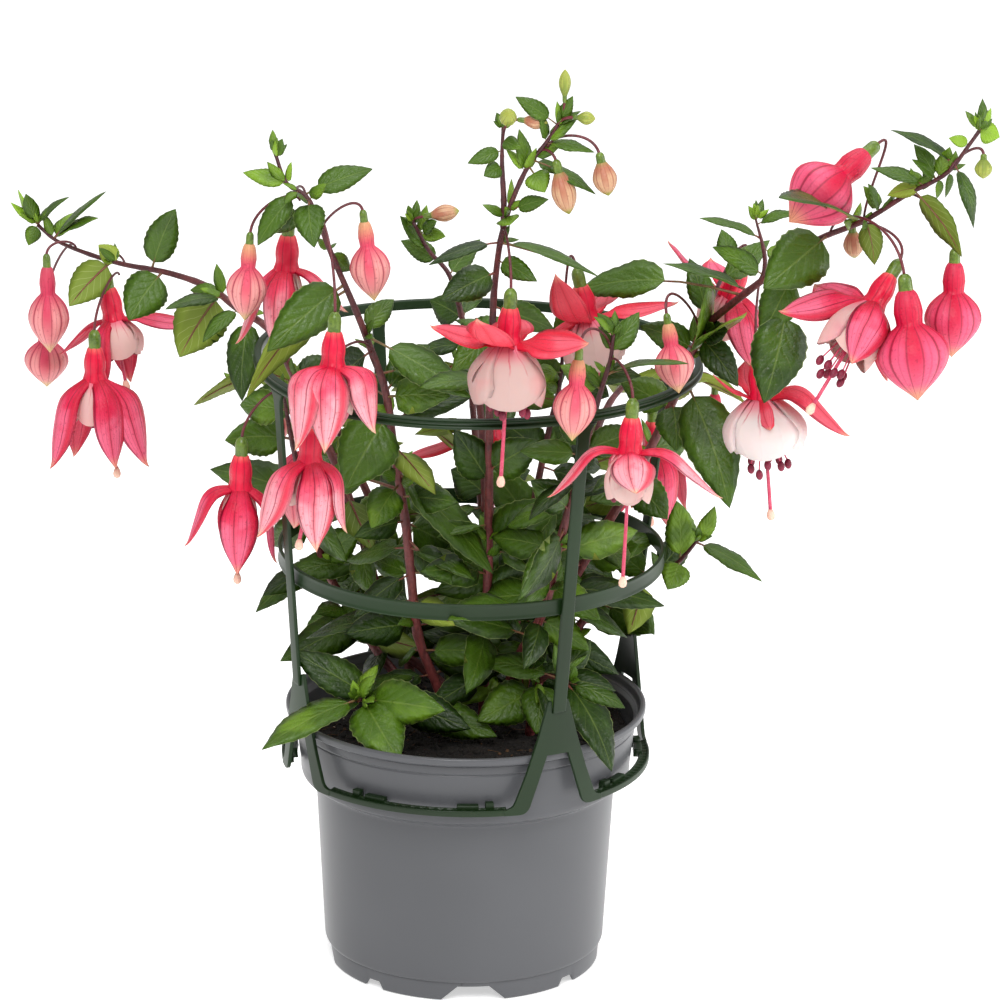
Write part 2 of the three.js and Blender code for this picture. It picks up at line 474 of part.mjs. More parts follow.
/** The thin stalk from a shoot, rising a little and then coming down onto the ovary. */
function pedicelSolid(from, at, to) {
  const reach = at.clone().sub(from);
  const axis = to.clone().sub(at).normalize();
  const start = from.clone().addScaledVector(reach.clone().setZ(Math.max(reach.z, 0)).normalize(), STEM.foot + 0.7);
  const length = at.distanceTo(start);
  const curve = new THREE.CubicBezierCurve3(
    start,
    start.clone().addScaledVector(up, 0.3 * length).addScaledVector(reach, 0.1),
    at.clone().addScaledVector(axis, -0.45 * length),
    at.clone().addScaledVector(axis, 1.5),
  );
  return tube(curve, () => PEDICEL.radius, PEDICEL.steps, PEDICEL.sides);
}

/** A sepal that leaves the tube's foot and bends in its own plane from the first angle to the second. */
function sepalSolid([azimuth, first, last], length, width) {
  const out = atAngle(azimuth, 1, 0);
  const side = atAngle(azimuth + 90, 1, 0);
  const rows = [];
  const centre = out.clone().multiplyScalar(FLOWER.tubeFoot - 2.2).setZ(-FLOWER.tubeEnd + 2);
  const fullness = [0.42, 0.88, 0.98, 0.04];
  fullness.forEach((full, i) => {
    const bend = radians(THREE.MathUtils.lerp(first, last, i / (fullness.length - 1)));
    const along = out.clone().multiplyScalar(Math.sin(bend)).addScaledVector(up, -Math.cos(bend));
    const normal = out.clone().multiplyScalar(Math.cos(bend)).addScaledVector(up, Math.sin(bend));
    rows.push({ centre: centre.clone(), side, normal, half: (full * width) / 2, thick: 0.6 + 2.6 * full });
    centre.addScaledVector(along, length / (fullness.length - 1));
  });
  return ridged(rows);
}

function flowerSolid({ from, at, to, bell: [bellRadius, bellLength], style, sepals }) {
  const f = FLOWER;
  const foot = -f.tubeEnd - bellLength;
  const body = revolved([[0, foot + 4], [bellRadius * 0.72, foot + 1], [bellRadius, foot + bellLength * 0.3],
    [bellRadius * 0.72, foot + bellLength * 0.72], [f.tubeFoot - 0.4, -f.tubeEnd], [f.tubeFoot, -f.tubeEnd + 3],
    [f.tubeTop, -f.ovaryLength - 2], [f.ovary - 0.4, -f.ovaryLength], [f.ovary, -4], [0, 0]], 7);
  const styleEnd = new THREE.LineCurve3(new THREE.Vector3(0, 0, foot + 6), new THREE.Vector3(0.4, 0.4, -style));
  const styleTube = tube(styleEnd, (share) => 0.7 + share, 1, 4);
  const parts = [body, styleTube, ...sepals.map((s) => sepalSolid(s, f.sepalLength, f.sepalWidth))];
  return hang(joined(parts), vec(at), vec(to)).add(pedicelSolid(vec(from), vec(at), vec(to)));
}

// ---------------------------------------------------------------- buds
// Each bud: where its pedicel leaves the shoot, the top of its ovary, its pointed tip and its radius.
const BUDS = {
  bud_left_upper: { from: [-214, 126, 354], at: [-231, 118, 354], to: [-230, 120, 298], radius: 11 },
  bud_left_lower: { from: [-214, 134, 350], at: [-234, 160, 310], to: [-232, 162, 267], radius: 11.5 },
  bud_left_high: { from: [-84, -80, 430], at: [-109, -76, 413], to: [-112, -76, 367], radius: 10 },
  bud_left_stem: { from: [-73, -84, 417], at: [-53, -80, 426], to: [-47, -80, 379], radius: 10 },
  bud_front: { from: [71, -96, 360], at: [55, -126, 369], to: [52, -127, 321], radius: 10.5 },
  bud_right_ring: { from: [118, -34, 351], at: [99, -74, 377], to: [106, -80, 334], radius: 9.8 },
  bud_right_large: { from: [178, -98, 421], at: [213, -150, 410], to: [221, -160, 349], radius: 17 },
  bud_right_end: { from: [210, -118, 444], at: [236, -130, 423], to: [236, -134, 360], radius: 13.5 },
  bud_peach_small: { from: [188, -104, 426], at: [189, -94, 422], to: [190, -93, 404], radius: 4.8, young: true },
  bud_round_end: { from: [235, -138, 465], at: [245, -142, 469], to: [245, -144, 457], radius: 4.2, young: true },
  bud_top: { from: [44, -117, 480], at: [46, -118, 489], to: [46, -118, 506], radius: 2.9, young: true },
  bud_top_right: { from: [41, -117, 474], at: [51, -121, 483], to: [65, -124, 484], radius: 3.2, young: true },
  bud_peach_centre: { from: [35, -114, 464], at: [42, -121, 462], to: [50, -123, 433], radius: 6.4, young: true },
  bud_peach_right: { from: [38, -116, 467], at: [63, -122, 466], to: [69, -125, 444], radius: 6.6, young: true },
  bud_top_brown: { from: [16, -111, 464], at: [23, -114, 480], to: [38, -117, 479], radius: 3.6, young: true },
  bud_top_left: { from: [16, -112, 472], at: [18, -116, 478], to: [19, -131, 487], radius: 4.2, young: true },
  bud_peach_back: { from: [-30, 42, 390], at: [-20, 38, 396], to: [-3, 36, 397], radius: 4.3, young: true },
  bud_rear_left: { from: [-105, 108, 290], at: [-108, 128, 284], to: [-108, 130, 239], radius: 10 },
  bud_rear_right: { from: [118, 138, 280], at: [134, 146, 276], to: [134, 147, 230], radius: 10 },
};

function budSolid({ from, at, to, radius, young }) {
  const length = vec(at).distanceTo(vec(to));
  const neck = Math.min(0.4, 0.16 + radius / 60);
  const body = revolved([[0, -length], [radius * 0.56, -length * 0.84], [radius, -length * (neck + 0.24)],
    [radius * 0.7, -length * (neck + 0.05)], [radius * 0.36, -length * neck], [radius * 0.3, -length * 0.05],
    [0, 0]], young ? 6 : 7);
  return hang(body, vec(at), vec(to)).add(pedicelSolid(vec(from), vec(at), vec(to)));
}

// ---------------------------------------------------------------- the whole
const taken = []; // every solid that is in place, so that no leaf is grown through another piece

function overlaps(solid) {
  const box = solid.boundingBox();
  return taken.some((other) => {
    const apart = [0, 1, 2].some((k) => box.min[k] > other.box.max[k] || box.max[k] < other.box.min[k]);
    return !apart && !solid.intersect(other.solid).isEmpty();
  });
}

function place(name, solid, material) {
  taken.push({ solid, box: solid.boundingBox() });
  addPiece(name, solid, material);
}

place('pot', potSolid(), MATERIAL.pot);
place('cage_base', cageBase(), MATERIAL.cage);
CAGE.angles.forEach((angle, i) => {
  place(`cage_upright_${i + 1}`, uprightSolid(angle, CAGE.leanTo[i]), MATERIAL.cage);
});
place('cage_middle_hoop', hoop(CAGE.hoopInner, CAGE.hoopOuter, CAGE.hoopZ, CAGE.hoopHeight, CAGE.hoopPush), MATERIAL.cage);
place('cage_top_hoop', hoop(CAGE.topInner, CAGE.topOuter, CAGE.topZ, CAGE.topHeight, CAGE.topPush), MATERIAL.cage);
for (const [name, flower] of Object.entries(FLOWERS)) place(name, flowerSolid(flower), MATERIAL.flower);
for (const [name, bud] of Object.entries(BUDS)) {
  place(name, budSolid(bud), bud.young ? MATERIAL.youngBud : MATERIAL.bud);
}

/** A shoot's woody stems, planted in the compost. */
function woodOf({ path, sides = [] }) {
  return joined([stemSolid(plantedPath(path)), ...sides.map((side) => stemSolid(side, 0.6))]);
}

const wood = Object.fromEntries(Object.entries(SHOOTS).map(([name, shoot]) => [name, woodOf(shoot)]));

/** Compost that fills the pot to just under its rim, with a hole for each stem. */
function compostSolid() {
  const p = POT;
  const t = p.wall + GAP;
  let heap = revolved([[0, p.floorZ + t], [p.bodyFoot - t - 0.4, p.floorZ + t],
    [p.bodyTop - t - 0.1, p.shoulderZ + 0.4], [p.collarFoot - t - 0.4, p.collarFootZ],
    [p.collarTop - t - 2, COMPOST.rimZ], [60, COMPOST.rimZ + 2.2], [0, COMPOST.crownZ]], COMPOST.sides);
  for (const { path } of Object.values(SHOOTS)) {
    const [x, y] = path[0];
    const hole = new THREE.CylinderGeometry(STEM.foot + COMPOST.stemRoom, STEM.foot + COMPOST.stemRoom, 60, 6);
    hole.rotateX(Math.PI / 2).translate(x, y, COMPOST.rimZ - COMPOST.planting - GAP + 30);
    heap = heap.subtract(toSolid(hole));
  }
  return heap;
}
place('compost', compostSolid(), MATERIAL.compost);

const NUDGES = [[0, 0, 0], [0, 0, 7], [0, 0, -7], [0, 9, 0], [0, -9, 0], [9, 0, 3], [-9, 0, 3], [0, 12, 12], [0, -12, -12]];

/** The leaf's tip, moved a little when the leaf would otherwise grow through another piece. */
function freeTip(from, tip, width, petiole) {
  return NUDGES.map((nudge) => tip.clone().add(vec(nudge)))
    .find((moved) => !overlaps(leafSolid(from, moved, width, petiole, GAP)));
}

for (const solid of Object.values(wood)) taken.push({ solid, box: solid.boundingBox() });
for (const [name, { path, leaves }] of Object.entries(SHOOTS)) {
  const ownStem = taken.findIndex(({ solid }) => solid === wood[name]);
  taken.splice(ownStem, 1);
  let shoot = wood[name];
  for (const [share, x, y, z, width, petiole] of leaves) {
    if (width < SMALLEST_LEAF) continue;
    const from = pointOnStem(path, share);
    const tip = freeTip(from, new THREE.Vector3(x, y, z), width, petiole);
    if (tip) shoot = shoot.add(leafSolid(from, tip, width, petiole));
  }
  taken.push({ solid: shoot, box: shoot.boundingBox() });
  addPiece(name, shoot, MATERIAL.foliage);
}

export default plant;
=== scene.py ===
"""A double-flowered fuchsia in a grey nursery pot with a green support cage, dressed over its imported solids.

Lengths are written in millimetres and become metres when a mesh is made. +Z is up, and -Y is the front.
Azimuths are in degrees, from the front (-Y) towards the right (+X)."""

import bpy
import numpy as np
from mathutils import Matrix, Vector


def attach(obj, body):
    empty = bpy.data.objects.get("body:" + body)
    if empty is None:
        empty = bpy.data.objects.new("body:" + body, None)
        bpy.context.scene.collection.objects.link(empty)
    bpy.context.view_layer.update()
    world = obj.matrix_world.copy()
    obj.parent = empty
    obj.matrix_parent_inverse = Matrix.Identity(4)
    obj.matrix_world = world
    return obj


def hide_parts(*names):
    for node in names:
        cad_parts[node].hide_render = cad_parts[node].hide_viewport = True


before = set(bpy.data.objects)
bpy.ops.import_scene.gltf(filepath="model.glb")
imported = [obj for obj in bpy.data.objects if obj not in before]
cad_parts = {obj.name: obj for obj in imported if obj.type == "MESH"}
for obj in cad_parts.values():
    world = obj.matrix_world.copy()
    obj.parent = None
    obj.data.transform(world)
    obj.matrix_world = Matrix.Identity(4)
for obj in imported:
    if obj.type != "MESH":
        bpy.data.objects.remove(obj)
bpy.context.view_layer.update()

MM = 0.001
UP = np.array([0.0, 0.0, 1.0])
WELD = 2e-6  # metres: points closer than this are one, so that poles and pointed tips close
SOFT_EDGE = 0.35  # how much is taken off the edges of a sheet that is given a thickness
LATTICE = 64  # cells before the heap's noise repeats


# ---------------------------------------------------------------- shapes from numbers
def unit(v):
    """v shortened to length 1 along its last axis."""
    return v / np.maximum(np.linalg.norm(v, axis=-1, keepdims=True), 1e-9)


def toward(azimuth):
    """Level directions for azimuths in degrees: (sin, -cos, 0)."""
    a = np.radians(np.asarray(azimuth, float))
    return np.stack([np.sin(a), -np.cos(a), np.zeros_like(a)], -1)


def grid(x, y):
    """Pairs (x, y) with x across and y down."""
    return np.stack(np.meshgrid(x, y), -1)


def smooth_path(points, count):
    """count points, evenly spaced along a curve through the given ones. Between two of them the curve is the
    cubic whose slope at each is half the step between that point's two neighbours."""
    p = np.asarray(points, float)
    p = np.vstack([2 * p[0] - p[1], p, 2 * p[-1] - p[-2]])
    t = np.linspace(0, len(p) - 3, 20 * len(p))
    i = np.minimum(t.astype(int), len(p) - 4)
    f = (t - i)[:, None]
    a, b, c, d = p[i], p[i + 1], p[i + 2], p[i + 3]
    q = b + f * ((c - a) + f * ((2 * a - 5 * b + 4 * c - d) + f * (3 * b - a - 3 * c + d))) / 2
    s = np.concatenate([[0], np.cumsum(np.linalg.norm(np.diff(q, axis=0), axis=1))])
    return along_line(q, np.linspace(0, s[-1], count), s)


def along_line(line, share, steps=None):
    """Points on a line at `share`, as fractions of its point count, or in the unit of `steps` if given."""
    steps = np.linspace(0, 1, len(line)) if steps is None else steps
    return np.stack([np.interp(share, steps, line[:, k]) for k in range(line.shape[1])], 1)


def frames(path, level=None):
    """(along, side, up) at each point of paths (..., n, 3). The side is square to `level`, which by default
    is the direction in which the path's points spread least."""
    along = unit(np.gradient(path, axis=-2))
    if level is None:
        level = np.linalg.svd(path - path.mean(0), full_matrices=False)[2][-1]
    side = unit(np.cross(level, along))
    return along, side, np.cross(along, side)


def tube(path, radius, sides=8, level=None):
    """A tube on paths (..., n, 3): a circle of each point's radius, square to the path. Both ends close to
    a point."""
    _, side, up = frames(path, level)
    n = path.shape[-2]
    ends = np.r_[0, np.arange(n), n - 1]
    radius = np.broadcast_to(radius, path.shape[:-1])[..., ends] * np.r_[0, np.ones(n), 0]
    turn = np.linspace(0, 2 * np.pi, sides, endpoint=False)[:, None]
    ring = side[..., ends, None, :] * np.cos(turn) + up[..., ends, None, :] * np.sin(turn)
    return path[..., ends, None, :] + radius[..., None, None] * ring


def turned(profile, columns, wobble=None):
    """A solid of revolution about Z: [radius, z] rows carried round in `columns` steps. wobble, if given,
    takes the angle and multiplies the radius of each row."""
    profile = np.asarray(profile, float)
    turn = np.linspace(0, 2 * np.pi, columns, endpoint=False)
    radius = profile[:, :1] * (1 if wobble is None else wobble(turn))
    x, y = radius * np.cos(turn), radius * np.sin(turn)
    return np.stack([x, y, np.broadcast_to(profile[:, 1:], x.shape)], -1)


def rounded(points, radius, steps=3, closed=False):
    """Corners of a 2-D outline softened: each becomes a short quadratic curve that starts and ends `radius`
    from it, or at 0.45 of its shorter side."""
    p = np.asarray(points, float)
    reach = lambda q: np.minimum(radius, 0.45 * np.linalg.norm(q - p, axis=1))[:, None] * unit(q - p)
    before, after = p + reach(np.roll(p, 1, 0)), p + reach(np.roll(p, -1, 0))
    t = np.linspace(0, 1, steps + 1)[:, None, None]
    soft = ((1 - t) ** 2 * before + 2 * t * (1 - t) * p + t**2 * after).transpose(1, 0, 2)
    return soft.reshape(-1, 2) if closed else np.vstack([p[:1], soft[1:-1].reshape(-1, 2), p[-1:]])


def turn_to(axis):
    """The rotation that carries straight down onto `axis` by the shortest way; straight up, a half turn."""
    axis = unit(np.asarray(axis, float))
    if axis[2] > 1 - 1e-6:
        return np.diag([1.0, -1.0, -1.0])
    x, y, _ = np.cross(-UP, axis)
    skew = np.array([[0, 0, y], [0, 0, -x], [-y, x, 0]])
    return np.eye(3) + skew + skew @ skew / (1 - axis[2])


def around(columns):
    """A closed sheet's way round its section: u from -1 to 1 over the upper face in `columns` points and
    back under it, with the side, +1 above, -1 below and 0 at the two edges."""
    top = np.linspace(-1, 1, columns)
    return np.r_[top, top[-2:0:-1]], np.r_[0, np.ones(columns - 2), 0, -np.ones(columns - 2)]


def sheet_map(u, t):
    """The map of a closed sheet's corners: across it from 0 to 1, and along it."""
    return grid((np.r_[u, u[0]] + 1) / 2, t)


def unit_ball(rows, columns):
    """A ball of radius 1 as rows of latitude by columns of longitude."""
    latitude = np.linspace(-np.pi / 2, np.pi / 2, rows)
    return turned(np.stack([np.cos(latitude), np.sin(latitude)], 1), columns)


def value_noise(x, y, cell, seed):
    """Smooth random heights from 0 to 1: random numbers on a square lattice, blended with 3t^2 - 2t^3."""
    table = np.random.default_rng(seed).random((LATTICE, LATTICE))
    i, j = np.floor(x / cell).astype(int), np.floor(y / cell).astype(int)
    f, g = x / cell - i, y / cell - j
    f, g = f * f * (3 - 2 * f), g * g * (3 - 2 * g)
    at = lambda a, b: table[a % LATTICE, b % LATTICE]
    row = lambda b: at(i, b) * (1 - f) + at(i + 1, b) * f
    return row(j) * (1 - g) + row(j + 1) * g


class Piece:
    """Surfaces on two parameters, gathered into one object."""

    def __init__(self, name, *materials):
        self.name, self.materials, self.count = name, materials, 0
        self.points, self.faces, self.uv, self.slots, self.tints = [], [], [], [], []

    def surface(self, points, uv=None, wrap=False, slots=0, tint=0.5):
        """Adds quads between neighbours of the points (..., rows, columns, 3). wrap joins the last column to
        the first. uv is (rows, columns of corners, 2), by default even from 0 to 1. slots is one material,
        or one for each column of faces. tint is one value, one for each surface, or one for each row."""
        rows, columns = points.shape[-3:-1]
        points = points.reshape(-1, rows, columns, 3)
        across = columns if wrap else columns - 1
        i, j = np.meshgrid(np.arange(rows - 1), np.arange(across), indexing="ij")
        k = (j + 1) % columns
        quad = np.stack([i * columns + j, i * columns + k, (i + 1) * columns + k, (i + 1) * columns + j], -1)
        start = self.count + np.arange(len(points))[:, None, None, None] * rows * columns
        if uv is None:
            uv = grid(np.linspace(0, 1, across + 1), np.linspace(0, 1, rows))
        corners = np.stack([uv[i, j], uv[i, j + 1], uv[i + 1, j + 1], uv[i + 1, j]], -2)
        tint = np.asarray(tint, float)
        tint = tint.reshape(tint.shape + (1,) * (3 - tint.ndim) if tint.ndim else (1, 1, 1))
        self.points.append(points.reshape(-1, 3))
        self.faces.append((quad + start).reshape(-1, 4))
        self.uv.append(np.broadcast_to(corners, (len(points),) + corners.shape).reshape(-1, 2))
        self.slots.append(np.broadcast_to(slots, (len(points), rows - 1, across)).ravel())
        self.tints.append(np.broadcast_to(tint, (len(points), rows, columns)).ravel())
        self.count += len(points) * rows * columns

    def build(self, slot, *nodes, thick=0):
        """Makes the object, welds coincident points, and lets it stand for the CAD nodes. An open sheet is
        given its thickness, half to each side, and softened edges."""
        mesh = bpy.data.meshes.new(self.name)
        faces = np.concatenate(self.faces)
        mesh.vertices.add(self.count)
        mesh.loops.add(faces.size)
        mesh.polygons.add(len(faces))

        def every(target, key, values, kind=np.float32):
            target.foreach_set(key, values.astype(kind).ravel())

        every(mesh.vertices, "co", np.concatenate(self.points) * MM)
        every(mesh.loops, "vertex_index", faces, np.int32)
        every(mesh.polygons, "loop_start", np.arange(0, faces.size, 4), np.int32)
        every(mesh.polygons, "material_index", np.concatenate(self.slots), np.int32)
        every(mesh.polygons, "use_smooth", np.ones(len(faces)), bool)
        mesh.update(calc_edges=True)
        every(mesh.uv_layers.new(name="Along").uv, "vector", np.concatenate(self.uv))
        every(mesh.attributes.new("tint", "FLOAT", "POINT").data, "value", np.concatenate(self.tints))
        for material in self.materials:
            mesh.materials.append(material)
        piece = bpy.data.objects.new(self.name, mesh)
        bpy.context.scene.collection.objects.link(piece)
        piece.modifiers.new("Weld", "WELD").merge_threshold = WELD
        if thick:
            solid = piece.modifiers.new("Thickness", "SOLIDIFY")
            solid.thickness, solid.offset, solid.use_even_offset = thick * MM, 0, True
            edges = piece.modifiers.new("Soft edges", "BEVEL")
            edges.width, edges.segments, edges.limit_method = SOFT_EDGE * MM, 2, "ANGLE"
            edges.harden_normals = True
        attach(piece, "root")
        if nodes:
            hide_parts(*nodes)


# ---------------------------------------------------------------- finishes
def paint(code):
    """A colour written as six hex digits, as linear red, green, blue and 1."""
    c = np.array([int(code[k:k + 2], 16) for k in (1, 3, 5)]) / 255
    return (*np.where(c <= 0.04045, c / 12.92, ((c + 0.055) / 1.055) ** 2.4), 1.0)


class Value:
    """The output of a shader node. Sums and products with it are Math nodes of its tree."""

    def __init__(self, tree, socket):
        self.tree, self.socket = tree, socket

    def __add__(self, other):
        return self.tree.math("ADD", self, other)

    def __sub__(self, other):
        return self.tree.math("SUBTRACT", self, other)

    def __mul__(self, other):
        return self.tree.math("MULTIPLY", self, other)

    def __pow__(self, other):
        return self.tree.math("POWER", self, other)

    def __abs__(self):
        return self.tree.math("ABSOLUTE", self)

    def larger(self, other):
        return self.tree.math("MAXIMUM", self, other)

    def from_line(self, count):
        """How far self * count is from the nearest whole number and a half."""
        return abs(self.tree.math("FRACT", self * count) - 0.5)

    def scaled(self, low, high, to_low=0.0, to_high=1.0):
        """The range low..high carried smoothly onto to_low..to_high, and held within it."""
        inputs = {"Value": self, "From Min": low, "From Max": high, "To Min": to_low, "To Max": to_high}
        return self.tree.add("ShaderNodeMapRange", inputs, "Result", interpolation_type="SMOOTHSTEP")

    def spread(self, low, high):
        """0..1 carried smoothly onto low..high."""
        return self.scaled(0, 1, low, high)


class Tree:
    """The nodes of `owner`, a material or a node group. `result` is the node that they end in."""

    def __init__(self, owner, graph, result):
        self.owner, self.graph, self.result = owner, graph, graph.nodes[result]

    def link(self, node, inputs):
        """Gives a node's sockets their values, as {socket: number, colour or Value}."""
        for socket, value in dict(inputs).items():
            if isinstance(value, Value):
                self.graph.links.new(value.socket, node.inputs[socket])
            else:
                node.inputs[socket].default_value = paint(value) if isinstance(value, str) else value

    def add(self, kind, inputs=(), output=0, **settings):
        """One output of a new node of that kind, with its settings and inputs."""
        made = self.graph.nodes.new(kind)
        for name, value in settings.items():
            setattr(made, name, value)
        self.link(made, inputs)
        return Value(self, made.outputs[output])

    def put(self, **inputs):
        """Feeds the sockets of the result."""
        self.link(self.result, {name.replace("_", " "): value for name, value in inputs.items()})

    def use(self, group, **inputs):
        """The outputs, by name, of a node group placed here with its inputs by name."""
        made = self.graph.nodes.new("ShaderNodeGroup")
        made.node_tree = group
        self.link(made, {name.replace("_", " "): value for name, value in inputs.items()})
        return {output.name: Value(self, output) for output in made.outputs}

    def mottle(self, coarse, fine):
        return self.use(MOTTLE, Coarse_scale=coarse, Fine_scale=fine)

    def streaks(self, count, width, waver):
        return self.use(STREAKS, Count=count, Width=width, Waver=waver)["Streaks"]

    def math(self, operation, a, b=0.5, clamp=False):
        return self.add("ShaderNodeMath", {0: a, 1: b}, operation=operation, use_clamp=clamp)

    def mix(self, share, a, b):
        return self.add("ShaderNodeMix", {0: share, 6: a, 7: b}, 2, data_type="RGBA")

    def noise(self, scale, detail=2.0, stretch=None):
        """Noise in object space, which is stretched first if asked."""
        place = self.add("ShaderNodeTexCoord", output="Object")
        if stretch is not None:
            place = self.add("ShaderNodeMapping", {"Vector": place, "Scale": stretch})
        return self.add("ShaderNodeTexNoise", {"Vector": place, "Scale": scale, "Detail": detail}, "Fac")

    def along(self):
        """(u, v) of the piece's own map."""
        place = self.add("ShaderNodeUVMap", uv_map="Along")
        u = self.add("ShaderNodeSeparateXYZ", {0: place}, "X")
        return u, Value(self, u.socket.node.outputs["Y"])

    def tint(self):
        return self.add("ShaderNodeAttribute", output="Fac", attribute_name="tint")

    def bump(self, height, strength, distance):
        return self.add("ShaderNodeBump", {"Height": height, "Strength": strength, "Distance": distance})


def node_group(name, inputs, outputs):
    """(its tree, its inputs by name) of a new node group. inputs is {name: default number}."""
    group = bpy.data.node_groups.new(name, "ShaderNodeTree")
    for key, default in inputs.items():
        group.interface.new_socket(key, in_out="INPUT", socket_type="NodeSocketFloat").default_value = default
    for key in outputs:
        group.interface.new_socket(key, in_out="OUTPUT", socket_type="NodeSocketFloat")
    given = group.nodes.new("NodeGroupInput")
    tree = Tree(group, group, group.nodes.new("NodeGroupOutput").name)
    return tree, {output.name: Value(tree, output) for output in given.outputs if output.name}


def material(name, **constants):
    """The tree of a new material, which ends in its Principled BSDF, with constants set on that."""
    made = bpy.data.materials.new(name)
    made.use_nodes = True
    tree = Tree(made, made.node_tree, "Principled BSDF")
    tree.put(**constants)
    return tree


def mottle_group():
    """Uneven colour at two scales: coarse noise and fine noise, each from 0 to 1, and their mean."""
    tree, given = node_group("Mottle", {"Coarse scale": 40, "Fine scale": 400}, ["Coarse", "Fine", "Mean"])
    coarse = tree.noise(given["Coarse scale"]).scaled(0.3, 0.7)
    fine = tree.noise(given["Fine scale"], 3.0).scaled(0.3, 0.7)
    tree.put(Coarse=coarse, Fine=fine, Mean=(coarse + fine) * 0.5)
    return tree.owner


def leaf_vein_group():
    """A leaf's veins from its map. The midrib is where |u - 1/2| is small; a lateral vein is where
    v - slant * |u - 1/2|^0.75 is close to a whole number of steps and a half. Relief is high between them.
    The last output marks the leaf's margin, where a highlight is painted."""
    tree, given = node_group("Leaf veins", {"Count": 6.0, "Slant": 0.7, "Width": 0.07},
                             ["Midrib", "Veins", "Relief", "Rim"])
    u, v = tree.along()
    off = abs(u - 0.5)
    midrib = off.scaled(0.006, 0.03, 1, 0)
    waver = (tree.noise(140.0) - 0.5) * 0.07
    from_vein = (v - off**0.75 * given["Slant"] + waver).from_line(given["Count"])
    lateral = from_vein.scaled(0.0, given["Width"], 1, 0)
    tree.put(Midrib=midrib, Veins=lateral * off.scaled(0.3, 0.48, 1, 0),
             Relief=from_vein.scaled(0.0, 0.4) - midrib * 0.8, Rim=off.scaled(0.47, 0.495))
    return tree.owner


def streak_group():
    """Lines that run the length of a petal or sepal: u, shifted by noise, times a count is close to a whole
    number and a half. Each line fades in and out along its way."""
    tree, given = node_group("Petal streaks", {"Count": 5.0, "Width": 0.1, "Waver": 0.05}, ["Streaks"])
    u, _ = tree.along()
    shift = (tree.noise(75.0, 3.0) - 0.5) * given["Waver"]
    line = (u + shift).from_line(given["Count"]).scaled(0.0, given["Width"], 1, 0)
    tree.put(Streaks=line * tree.noise(60.0).scaled(0.3, 0.5, 0.35, 1))
    return tree.owner


MOTTLE, LEAF_VEINS, STREAKS = mottle_group(), leaf_vein_group(), streak_group()


def plastic(name, colour, worn, roughness, pebbles):
    """Moulded plastic: two close colours in broad clouds, a gloss that varies with them, and fine pebbles of
    the strength given, which is 0 for a smooth skin."""
    tree = material(name, Specular_IOR_Level=0.32)
    mottle = tree.mottle(9.0, 900.0)
    tree.put(Base_Color=tree.mix(mottle["Coarse"], colour, worn),
             Roughness=mottle["Coarse"].spread(roughness - 0.03, roughness + 0.03),
             Normal=tree.bump(mottle["Fine"], pebbles, 0.0001))
    return tree.owner


def mottled(name, first, second, bumps, strength, distance, **constants):
    """Two close colours, mottled, with bumps from the "Fine" or the "Mean" mottle."""
    tree = material(name, **constants)
    mottle = tree.mottle(160.0, 900.0)
    tree.put(Base_Color=tree.mix(mottle["Mean"], first, second),
             Normal=tree.bump(mottle[bumps], strength, distance))
    return tree.owner


def soil(name, dark, light):
    """Compost and what lies in it."""
    return mottled(name, dark, light, "Mean", 0.8, 0.0012, Roughness=0.9)


def plain_tissue(name, first, second, roughness=0.45):
    """Soft tissue."""
    return mottled(name, first, second, "Fine", 0.15, 0.0003, Roughness=roughness, Subsurface_Weight=0.06,
                   Subsurface_Scale=0.002)


def leaf_top():
    """Dark to light green by the leaf's tint, hardly paler along its veins, with a painted highlight
    round its rim, and quilted between the veins."""
    tree = material("Leaf upper face", Specular_IOR_Level=0.34)
    veins = tree.use(LEAF_VEINS)
    mottle = tree.mottle(55.0, 600.0)
    tint = tree.math("ADD", tree.tint(), mottle["Coarse"].spread(-0.1, 0.1), clamp=True)
    old = tree.mix(tint.scaled(0.0, 0.5), "#1b3204", "#405e0e")
    green = tree.mix(tint.scaled(0.5, 1.0), old, "#86ac2a")
    lines = veins["Midrib"].larger(veins["Veins"] * 0.4)
    veined = tree.mix(lines * 0.2, green, "#93a854")
    # the paler margin is a painted highlight along the leaf's edge
    tree.put(Base_Color=tree.mix(veins["Rim"] * 0.5, veined, "#a8b870"),
             Roughness=mottle["Fine"].spread(0.32, 0.46),
             Normal=tree.bump(veins["Relief"] + mottle["Fine"], 0.34, 0.0006))
    return tree.owner


def leaf_back():
    """Pale green, with a reddish midrib and raised pale veins."""
    tree = material("Leaf underside", Roughness=0.6, Specular_IOR_Level=0.3)
    veins = tree.use(LEAF_VEINS)
    green = tree.mix(tree.tint(), "#566a1c", "#9cae3c")
    veined = tree.mix(veins["Veins"] * 0.4, green, "#b4bc78")
    tree.put(Base_Color=tree.mix(veins["Midrib"] * 0.7, veined, "#8a3c40"),
             Normal=tree.bump(veins["Relief"], -0.5, 0.0006))
    return tree.owner


def stem_finish(name, old, young, roughness=0.5):
    """Red-brown bark whose colour moves to the second one where the tint is high, scarred lengthways."""
    tree = material(name, Roughness=roughness)
    mottle = tree.mottle(90.0, 700.0)
    scars = tree.noise(420.0, 3.0, (1, 1, 0.22)).scaled(0.45, 0.7)
    share = tree.math("ADD", tree.tint(), mottle["Mean"].spread(-0.25, 0.25), clamp=True)
    tree.put(Base_Color=tree.mix(scars * 0.45, tree.mix(share, old, young), "#2c1014"),
             Normal=tree.bump(mottle["Fine"] - scars, 0.4, 0.0004))
    return tree.owner


